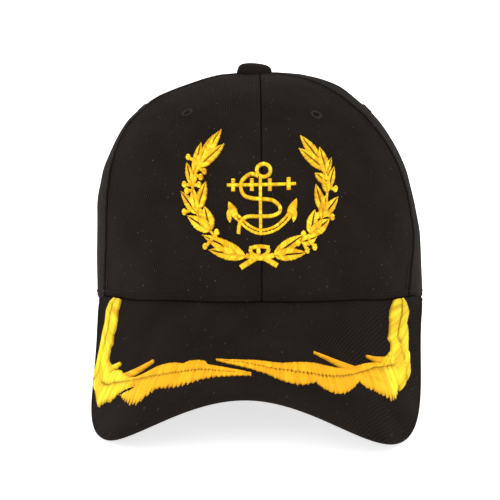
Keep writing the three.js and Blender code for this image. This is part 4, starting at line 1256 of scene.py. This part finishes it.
class CAP_OT_visor(PieceOperator):
    """Makes the twill-covered visor"""

    bl_idname = "cap.visor"
    bl_label = "Visor"

    def execute(self, context):
        detail = self.detail()

        def from_rim(along, out):
            return (visor_own(along, 1, WALL) - visor_own(along, out, WALL)).length

        def rim_depth(along, out):
            """How far the faces draw in towards the rounded rim."""
            reach = min((1 - out) * from_rim(along, 0) / RIM_RADIUS, 1)
            return RIM_RADIUS * (1 - math.sqrt(max(1 - (1 - reach) ** 2, 0)))

        def place(along, out):
            return dense_ends(along, 0.35), 1 - dense_start(1 - out, 0.93)

        def flare(along, out):
            """The visor's ends come out a little, flush with the crown's hem."""
            from_end = min(along, 1 - along) * OUTLINE_LENGTHS[-1]
            side = -1 if along < 0.5 else 1
            return Vector((side * VISOR_FLARE * out * bell(from_end, 0.02), 0, 0))

        def sewn_depth(along, out):
            return rim_depth(along, out) + VISOR_DENT * bell(from_rim(along, out) - VISOR_STITCHES, 0.0005)

        def upper(along_share, out_share):
            along, out = place(along_share, out_share)
            calm = min(from_rim(along, out) / CALM_BY_SEAM, 1)
            depth = sewn_depth(along, out) - 0.35 * soft_relief(visor_own(along, out, WALL), detail) * calm
            return visor_point(along, out, -depth, WALL) + flare(along, out)

        def lower(along_share, out_share):
            along, out = place(along_share, out_share)
            front = 1 - smoothstep(abs(along - 0.5), 0.16, 0.3)
            depth = sewn_depth(along, out) + VISOR_THINNING * front * bell(from_rim(along, out), 0.009)
            return visor_point(along, out, depth - VISOR_THICKNESS, WALL) + flare(along, out)

        def cloth(along_share, out_share):
            along, out = place(along_share, out_share)
            own = visor_own(along, out, WALL)
            return -own.x, own.y / math.cos(VISOR_SLOPE)

        bm = cloth_wall(detail.visor_columns, detail.visor_rows, upper, lower, cloth)
        finish_piece("visor_cloth", bm, Cloths.get("twill"), ["visor"])
        return {"FINISHED"}


class CAP_OT_sweatband(PieceOperator):
    """Makes the sweatband inside the hem"""

    bl_idname = "cap.sweatband"
    bl_label = "Sweatband"

    def execute(self, context):
        strap = math.asin((ARCH_HALF_WIDTH + STRAP_TUCK) / HALF_WIDTH)
        end = math.pi - strap - BAND_END_GAP / HALF_WIDTH
        outer = WALL + LINING_GAP

        def place(across, rise):
            return lerp(-end, end, across), lerp(SWEATBAND_BOTTOM, SWEATBAND_TOP, rise)

        def face(inset, bulge):
            def point(across, rise):
                angle, up = place(across, rise)
                edge = min(rise, 1 - rise) * BAND_HEIGHT
                rolled = BAND_ROLL * bell(edge, SWEATBAND_THICKNESS)
                sewn = 0.0002 * bell(edge - BAND_STITCHES, STITCH_SPREAD)
                return crown_point(angle, up, inset - (rolled + sewn) * bulge)
            return point

        def cloth(across, rise):
            angle, up = place(across, rise)
            return angle * HALF_WIDTH, CLOTH_HEIGHT(up)

        bm = cloth_wall(220, 26, face(outer, -1), face(outer + SWEATBAND_THICKNESS, 1), cloth)
        piece = finish_piece("sweatband_cloth", bm, Cloths.get("band"), ["sweatband"])
        hem = [crown_own(end * k / 50, 0) for k in range(-50, 51)]
        width = CLOTH_HEIGHT(SWEATBAND_TOP) - CLOTH_HEIGHT(SWEATBAND_BOTTOM)
        return {"FINISHED"}


class CAP_OT_strap(PieceOperator):
    """Makes the strap below the arch at the back, with its edge stitches"""

    bl_idname = "cap.strap"
    bl_label = "Back Strap"

    def execute(self, context):
        detail = self.detail()
        half = math.asin((ARCH_HALF_WIDTH + STRAP_TUCK) / HALF_WIDTH)
        outer = WALL + LINING_GAP
        heights = column(SECTIONS, 0)

        def place(across, rise):
            up = between(heights, SECTION_SHARES, rise * STRAP_HEIGHT / CROWN_HEIGHT)
            return math.pi + lerp(-half, half, across), up

        def face(inset, inward):
            def point(across, rise):
                angle, up = place(across, rise)
                edge = min(rise, 1 - rise) * STRAP_HEIGHT
                rolled = STRAP_ROLL * bell(edge, 0.0006) * (rise > 0.5)
                sewn = STITCH_DENT * bell(edge - BAND_STITCHES, STITCH_SPREAD)
                return crown_point(angle, up, inset - (rolled + sewn) * inward)
            return point

        def cloth(across, rise):
            return lerp(-half, half, across) * HALF_WIDTH, rise * STRAP_HEIGHT

        bm = cloth_wall(110, 24, face(outer, -1), face(outer + STRAP_THICKNESS, 1), cloth)
        piece = finish_piece("strap_cloth", bm, Cloths.get("twill"), ["back_strap"])

        rows = bmesh.new()
        for rise in (BAND_STITCHES / STRAP_HEIGHT, 1 - BAND_STITCHES / STRAP_HEIGHT):
            def path(along, sideways, lift, rise=rise):
                angle, up = place(along, rise + sideways / STRAP_HEIGHT)
                return crown_point(angle, up, outer + EDGE_THREAD_DEPTH - lift)

            stitch_row(rows, path, 2 * half * HALF_LENGTH, detail)
        finish_piece("strap_stitches", rows, Cloths.get("black_thread"), [], 80)
        return {"FINISHED"}


# Embroidery

class Line:
    """A smooth line through a few points, read by a share of its length."""

    def __init__(self, points):
        self.fine = self.smoothed([Vector(point) for point in points])
        self.lengths = [0.0]
        for first, second in zip(self.fine, self.fine[1:]):
            self.lengths.append(self.lengths[-1] + (second - first).length)
        self.length = self.lengths[-1]

    @staticmethod
    def smoothed(points, steps=12):
        if len(points) == 2:
            return [points[0].lerp(points[1], i / steps) for i in range(steps + 1)]
        fine = []
        for i in range(len(points) - 1):
            before = points[max(i - 1, 0)]
            start, end = points[i], points[i + 1]
            after = points[min(i + 2, len(points) - 1)]
            for k in range(steps):
                t = k / steps
                lead = (end - before) * 0.5
                trail = (after - start) * 0.5
                fine.append(
                    start * (2 * t ** 3 - 3 * t * t + 1) + lead * (t ** 3 - 2 * t * t + t)
                    + end * (3 * t * t - 2 * t ** 3) + trail * (t ** 3 - t * t)
                )
        return fine + [points[-1]]

    def at(self, share):
        wanted = min(max(share, 0), 1) * self.length
        low, high = 0, len(self.lengths) - 1
        while high - low > 1:
            middle = (low + high) // 2
            low, high = (middle, high) if self.lengths[middle] <= wanted else (low, middle)
        span = max(self.lengths[high] - self.lengths[low], 1e-9)
        return self.fine[low].lerp(self.fine[high], (wanted - self.lengths[low]) / span)

    def side(self, share):
        """Unit direction to the left of the line."""
        ahead = self.at(share + 0.01) - self.at(share - 0.01)
        return Vector((-ahead.y, ahead.x)).normalized()

    def nearest(self, place):
        return min(self.fine, key=lambda point: (point - Vector(place)).length)


class Satin:
    """Lays satin stitches on a cloth. Each run is a closed, padded shape, its rims just under the cloth."""

    def __init__(self, cloth, detail, seed):
        self.bm = bmesh.new()
        self.uv = self.bm.loops.layers.uv.new("stitch")
        self.cloth = cloth
        self.detail = detail
        self.random = random.Random(seed)
        self.laid = 0

    def lay(self, first, second, length, pile, base, slant=0.0, ragged=0.06, rows=6,
            teeth=0.0, vein=False, dotted=False, sunk=None):
        """Stitches from one rim to the other. Each rim gives a place for a share of its length; length is the
        run's real length, pile the height of the padding, and ragged and teeth how uneven the second rim is.
        The first rim can be a vein, a dotted one too, and sunk tells where the stitches leave a slit."""
        stitches = max(3, round(length / self.detail.thread_pitch))
        draw = self.random.uniform
        ends = [draw(0, ragged) + teeth * (number % 4) / 3 * draw(0.5, 1.2) for number in range(stitches + 1)]
        starts = [draw(0.05, 0.12) if dotted and number % 3 == 0 else 0.0 for number in range(stitches + 1)]
        tones = [draw(-0.2, 0.2) for _ in range(stitches + 1)]
        radius = self.detail.thread_pitch * 0.42
        across_scale = (rows + 1) / rows

        def place(along, around):
            number = min(int(along * stitches + 1e-6), stitches - 1)
            part = along * stitches - number
            thread = math.sqrt(max(1 - (2 * part - 1) ** 2, 0))
            across = 0.0 if around > 0.9999 else min(around * across_scale, 1)
            rim = across < 0.0001 or across > 0.9999
            across = dense_ends(across, 0.8)
            reach = 1 - ends[number] - 0.35 * ragged * (1 - thread)
            start = first(along)
            end = second(min(max(along + slant, 0), 1))
            middle = start + (end - start) * lerp(starts[number], reach, across)
            dome = max(math.sin(math.pi * lerp(0.12 if vein else 0, 1, across)), 0) ** 0.55
            bead = radius * (thread - 0.4 + 0.3 * tones[number] * thread)
            lift = base + pile * dome + bead * (0.35 + 0.65 * dome)
            if rim or (sunk and sunk(middle)):
                lift = -RIM_DEPTH
            return self.cloth(middle.x, middle.y, lift)

        shares = lay_grid(self.bm, stitches * 4, rows + 1, place)
        for face in {face for vert in shares for face in vert.link_faces}:
            for loop in face.loops:
                along, around = shares[loop.vert]
                loop[self.uv].uv = (self.laid + along * stitches, min(around * across_scale, 1))
        self.laid += stitches + 1
        close_tube(self.bm, shares)

    def ribbon(self, points, wide, pile, base, slant=0.0, ragged=0.03, split=False):
        """A stroke of even width, stitched straight across, or in two halves with a dotted line between."""
        line = Line(points)

        def rim(width):
            return lambda share: line.at(share) + line.side(share) * width

        sizes = (line.length * EMBLEM_UNIT, pile, base, slant, ragged)
        if split:
            for sign in (1, -1):
                self.lay(rim(sign * 0.1), rim(sign * wide / 2), *sizes, vein=True, dotted=True)
        else:
            self.lay(rim(wide / 2), rim(-wide / 2), *sizes)

    def finish(self, name, material, node):
        finish_piece(name, self.bm, Cloths.get(material), [node], 80)


def leaf_width(wide, along):
    bulge = math.sin(math.pi * min(max(along, 0), 1) ** 0.85) ** 0.75
    return wide * LEAF_FULLNESS * max(0.08, bulge)


def sew_leaf(satin, root, tip, wide, base, halves=True):
    """A laurel leaf of slanted stitches, in two halves that meet in a vein, or whole."""
    line = Line([root, tip])
    across = line.side(0.5)
    length = line.length * EMBLEM_UNIT

    def rim(sign):
        return lambda share: line.at(share) + across * (sign * leaf_width(wide, share) / 2)

    def beside_vein(sign):
        half = sign * VEIN_WIDE / 2
        return lambda share: line.at(share) + across * (half * min(1, 6 * share * (1 - share)))

    if halves:
        for sign in (1, -1):
            vein = beside_vein(sign)
            satin.lay(vein, rim(sign), length, LEAF_PILE, base, slant=0.1, ragged=0.12, vein=True)
    else:
        satin.lay(rim(1), rim(-1), length, STROKE_PILE, base, ragged=0.04)


def sew_berry(satin, stem, place, base):
    root = stem.nearest(place)
    top = (place[0], place[1] + BERRY_WIDE / 2)
    foot = (place[0], place[1] - BERRY_WIDE / 2)
    line = Line([foot, top])

    def rim(sign):
        def point(share):
            half = BERRY_WIDE / 2 * math.sqrt(max(1 - (2 * share - 1) ** 2, 0.05))
            return line.at(share) + Vector((sign * half, 0))
        return point

    satin.ribbon([root, place], STALK_WIDE, STALK_PILE, STEM_BASE)
    satin.lay(rim(-1), rim(1), line.length * EMBLEM_UNIT, STROKE_PILE, base, ragged=0.15)


class CAP_OT_wreath(PieceOperator):
    """Sews the laurel wreath and its bow"""

    bl_idname = "cap.wreath"
    bl_label = "Wreath"

    def execute(self, context):
        branches = (
            ("left", LEFT_STEM, LEFT_LEAVES, LEFT_BERRIES),
            ("right", RIGHT_STEM, RIGHT_LEAVES, RIGHT_BERRIES),
        )
        for number, (name, stem_points, leaves, berries) in enumerate(branches):
            satin = Satin(emblem_cloth, self.detail(), number + 1)
            stem = Line(stem_points)
            satin.ribbon(stem_points, STEM_WIDE, STEM_PILE, STEM_BASE, slant=0.01)
            for i, place in enumerate(berries):
                sew_berry(satin, stem, place, FIRST_BASE + STROKE_LAYER * (i % 2))
            for i, (root, tip, wide) in enumerate(leaves):
                sew_leaf(satin, stem.nearest(root), tip, wide, FIRST_BASE + LEAF_LAYER * (i % 4))
            satin.finish("wreath_stitches_" + name, "emblem_thread", "wreath_" + name)
        satin = Satin(emblem_cloth, self.detail(), 3)
        for i, (points, wide) in enumerate(BOW_STROKES):
            satin.ribbon(points, wide, STROKE_PILE, FIRST_BASE + LEAF_LAYER * (i % 3))
        satin.finish("bow_stitches", "emblem_thread", "wreath_bow")
        return {"FINISHED"}


class CAP_OT_anchor(PieceOperator):
    """Sews the anchor and the rope wound round it"""

    bl_idname = "cap.anchor"
    bl_label = "Anchor and Rope"

    def execute(self, context):
        satin = Satin(emblem_cloth, self.detail(), 4)
        satin.ribbon(ANCHOR_ARM, ANCHOR_ARM_WIDE, STROKE_PILE, FIRST_BASE, split=True)
        for i, (points, wide) in enumerate(ANCHOR_STROKES):
            satin.ribbon(points, wide, STROKE_PILE, 0.0003 + STROKE_LAYER * (i % 3))
        for i, (root, tip, wide) in enumerate(ANCHOR_FLUKES):
            sew_leaf(satin, root, tip, wide, 0.0004 + STROKE_LAYER * (i % 2), halves=False)
        x, y = ANCHOR_RING_CENTRE
        turns = [2 * math.pi * i / 24 for i in range(25)]
        radius = ANCHOR_RING_RADIUS
        ring = [(x + radius * math.cos(turn), y + radius * math.sin(turn)) for turn in turns]
        satin.ribbon(ring, ANCHOR_RING_WIDE, STROKE_PILE, 0.0003)
        satin.finish("anchor_stitches", "emblem_thread", "anchor")

        rope = Satin(emblem_cloth, self.detail(), 5)
        rope.ribbon(ROPE, ROPE_WIDE, ROPE_PILE, 0.0006, slant=0.012)
        rope.finish("rope_stitches", "emblem_thread", "anchor")
        return {"FINISHED"}


def table_rim(table, rim_column, place_first):
    """A rim of a visor band, read evenly along its table."""
    places = column(table, 0)
    rims = column(table, rim_column)
    low, high = places[0], places[-1]

    def rim(share):
        place = lerp(low, high, min(max(share, 0), 1))
        i = 0
        while i < len(places) - 2 and place > places[i + 1]:
            i += 1
        value = lerp(rims[i], rims[i + 1], (place - places[i]) / (places[i + 1] - places[i]))
        return Vector((place, value)) if place_first else Vector((value, place))

    return rim


def run_length(rim):
    points = [visor_own(*rim(i / 20)) for i in range(21)]
    return sum((second - first).length for first, second in zip(points, points[1:]))


def slit_test(slits):
    """Tells whether a place on the visor lies in one of the slits between its stitches."""
    scale = Vector((OUTLINE_LENGTHS[-1], VISOR_REACH))
    lines = [(Vector(start) * scale, Vector(end) * scale, wide, dotted) for start, end, wide, dotted in slits]

    def sunk(place):
        point = place * scale
        for start, end, half_width, dotted in lines:
            nearest, share = geometry.intersect_point_line(point, start, end)
            if 0 < share < 1 and (point - nearest).length < half_width:
                if not dotted or (share * (end - start).length / SLIT_DOT_PITCH) % 1 < 0.5:
                    return True
        return False

    return sunk


class CAP_OT_visor_branches(PieceOperator):
    """Sews the oak-leaf branches on the visor"""

    bl_idname = "cap.visor_branches"
    bl_label = "Visor Branches"

    def execute(self, context):
        branches = (
            ("left", LEFT_FRONT_BAND, LEFT_SIDE_BAND, LEFT_SPIKES, LEFT_SLITS, 0.2),
            ("right", RIGHT_FRONT_BAND, RIGHT_SIDE_BAND, RIGHT_SPIKES, RIGHT_SLITS, 0.1),
        )
        for number, (name, front_band, side_band, spikes, slits, teeth) in enumerate(branches):
            satin = Satin(visor_point, self.detail(), 10 + number)
            self.sew_band(satin, front_band, True, 0.0003, teeth, slits)
            self.sew_band(satin, side_band, False, 0.0006, 0.0, ())
            for i, corners in enumerate(spikes):
                self.sew_spike(satin, corners, 0.0006 + 0.0002 * i)
            satin.finish("visor_stitches_" + name, "visor_thread", "visor_branch_" + name)
        return {"FINISHED"}

    @staticmethod
    def sew_band(satin, table, place_first, base, teeth, slits):
        back, vein, front = [table_rim(table, rim_column, place_first) for rim_column in (1, 2, 3)]
        sizes = (run_length(vein), BRANCH_PILE, base, 0.0, 0.05)
        rows = 14 if slits else 8
        sunk = slit_test(slits) if slits else None
        satin.lay(vein, back, *sizes, rows=8, vein=True, dotted=True)
        satin.lay(vein, front, *sizes, rows=rows, teeth=teeth, vein=True, dotted=True, sunk=sunk)

    @staticmethod
    def sew_spike(satin, corners, base):
        def rim(root, tip):
            return lambda share: Vector(root).lerp(Vector(tip), share)

        upper, lower = rim(corners[0], corners[2]), rim(corners[1], corners[3])
        satin.lay(upper, lower, run_length(upper), STROKE_PILE, base, ragged=0.08)


class CAP_OT_stage(PieceOperator):
    """Makes the floor, the lights and the camera"""

    bl_idname = "cap.stage"
    bl_label = "Stage"

    def execute(self, context):
        self.floor()
        self.lights(context.scene)
        self.camera(context.scene)
        context.scene.view_settings.view_transform = "Standard"
        return {"FINISHED"}

    @staticmethod
    def floor():
        bm = bmesh.new()
        bmesh.ops.create_grid(bm, x_segments=1, y_segments=1, size=6)
        mesh = bpy.data.meshes.new("floor")
        bm.to_mesh(mesh)
        bm.free()
        shade = Shade("floor_pale")
        tone = shade.noise(shade.place(), 3)
        base = shade.mix(tone, (0.84, 0.84, 0.84, 1), (0.86, 0.86, 0.86, 1))
        pale = {"Emission_Color": (1, 1, 1, 1), "Emission_Strength": 0.7}
        mesh.materials.append(shade.cloth(base, 0.8, shade.bump(tone, 0.01, 0.001), **pale))
        floor = bpy.data.objects.new("floor", mesh)
        bpy.context.scene.collection.objects.link(floor)

    @staticmethod
    def lights(scene):
        world = bpy.data.worlds.new("studio")
        world.use_nodes = True
        background = world.node_tree.nodes["Background"]
        background.inputs[0].default_value = (1, 1, 1, 1)
        background.inputs[1].default_value = 1.0
        scene.world = world
        for name, place, size, power in (
            ("key", (-0.7, -1.1, 1.2), 1.0, 10),
            ("fill", (0.9, -0.9, 0.9), 1.2, 3),
            ("top", (0, 0.3, 1.8), 1.6, 2.5),
        ):
            light = bpy.data.lights.new(name, "AREA")
            light.shape = "DISK"
            light.size = size
            light.energy = power
            lamp = bpy.data.objects.new(name, light)
            lamp.location = place
            lamp.rotation_euler = (Vector((0, 0, 0.05)) - Vector(place)).to_track_quat("-Z", "Y").to_euler()
            scene.collection.objects.link(lamp)

    @staticmethod
    def camera(scene):
        forward = Vector((0, math.cos(CAMERA_ELEVATION), -math.sin(CAMERA_ELEVATION)))
        turn = Matrix.Rotation(-CAMERA_YAW, 4, "Z")
        aim = Stance.matrix @ (turn @ CAMERA_AIM)
        place = Stance.matrix @ (turn @ (CAMERA_AIM - forward * CAMERA_DISTANCE))
        data = bpy.data.cameras.new("camera")
        data.lens = CAMERA_LENS
        data.clip_start = 0.05
        data.clip_end = 50
        camera = bpy.data.objects.new("camera", data)
        camera.location = place
        camera.rotation_euler = (aim - place).to_track_quat("-Z", "Y").to_euler()
        scene.collection.objects.link(camera)
        scene.camera = camera


# Settings, panel and registration

def length_setting(name, default, description):
    return FloatProperty(name=name, description=description, default=default, unit="LENGTH")


def count_setting(name, default, description):
    return IntProperty(name=name, description=description, default=default, min=2)


def colour_setting(name, default, description):
    return FloatVectorProperty(name=name, description=description, default=default, subtype="COLOR")


class CapDetail(bpy.types.PropertyGroup):
    """Sizes of the cloth's detail"""

    twill_pitch: length_setting("Twill Pitch", 0.0011, "Distance between the twill's wales")
    twill_angle: FloatProperty(
        name="Twill Angle", description="Turn of the wales across a panel, in degrees", default=27.0,
    )
    seam_depth: length_setting("Seam Depth", 0.0010, "Depth of the groove at a seam")
    stitch_offset: length_setting("Stitch Offset", 0.0032, "Distance of the topstitching from its seam")
    stitch_length: length_setting("Stitch Length", 0.0032, "Length of a topstitch")
    pucker: length_setting("Pucker", 0.00012, "Height of the small puckers beside the seams")
    softness: length_setting("Softness", 0.0006, "Height of the cloth's slow unevenness")
    thread_pitch: length_setting("Thread Pitch", 0.0006, "Distance between the embroidery's stitches")
    panel_columns: count_setting("Panel Columns", 56, "Cells across a panel")
    panel_rows: count_setting("Panel Rows", 110, "Cells up a panel")
    visor_columns: count_setting("Visor Columns", 170, "Cells along the visor")
    visor_rows: count_setting("Visor Rows", 56, "Cells out across the visor")


class CapColours(bpy.types.PropertyGroup):
    """Colours of the cloth and threads"""

    twill_dark: colour_setting("Twill Dark", (0.005, 0.0035, 0.0026), "Between the wales")
    twill_light: colour_setting("Twill Light", (0.017, 0.0125, 0.0098), "On the wales")
    lint: colour_setting("Lint", (0.12, 0.1, 0.09), "Specks of lint on the twill")
    black_thread: colour_setting("Black Thread", (0.009, 0.007, 0.0055), "Topstitching")
    eyelet_thread: colour_setting("Eyelet Thread", (0.026, 0.022, 0.019), "Thread of the eyelets")
    gold: colour_setting("Gold", (1.0, 0.82, 0.035), "Yellow gold thread")
    # Deep Gold is the deeper random stitches, and also the painted reflection towards the cap's middle.
    gold_deep: colour_setting("Deep Gold", (1.0, 0.47, 0.005), "Orange gold thread")
    # Gold Shade is the painted shade between the gold stitches and at their rims, and the colour of the
    # darker random stitches.
    gold_shade: colour_setting("Gold Shade", (0.42, 0.2, 0.002), "Between the gold stitches")


OPERATORS = (
    CAP_OT_stage,
    CAP_OT_panels,
    CAP_OT_seams,
    CAP_OT_button,
    CAP_OT_eyelets,
    CAP_OT_visor,
    CAP_OT_sweatband,
    CAP_OT_strap,
    CAP_OT_wreath,
    CAP_OT_anchor,
    CAP_OT_visor_branches,
)


class VIEW3D_PT_cap(bpy.types.Panel):
    """Lists the cap's pieces"""

    bl_label = "Captain Cap"
    bl_idname = "VIEW3D_PT_cap"
    bl_space_type = "VIEW_3D"
    bl_region_type = "UI"
    bl_category = "Cap"

    def draw(self, context):
        for operator in OPERATORS:
            self.layout.operator(operator.bl_idname)
        for group in (context.scene.cap_detail, context.scene.cap_colours):
            for name in group.__annotations__:
                self.layout.prop(group, name)


CLASSES = (CapDetail, CapColours, *OPERATORS, VIEW3D_PT_cap)


def register():
    for cls in CLASSES:
        bpy.utils.register_class(cls)
    bpy.types.Scene.cap_detail = PointerProperty(type=CapDetail)
    bpy.types.Scene.cap_colours = PointerProperty(type=CapColours)


def unregister():
    del bpy.types.Scene.cap_colours
    del bpy.types.Scene.cap_detail
    for cls in reversed(CLASSES):
        bpy.utils.unregister_class(cls)


def main():
    register()
    for operator in OPERATORS:
        group, name = operator.bl_idname.split(".")
        getattr(getattr(bpy.ops, group), name)()


if __name__ == "__main__":
    main()
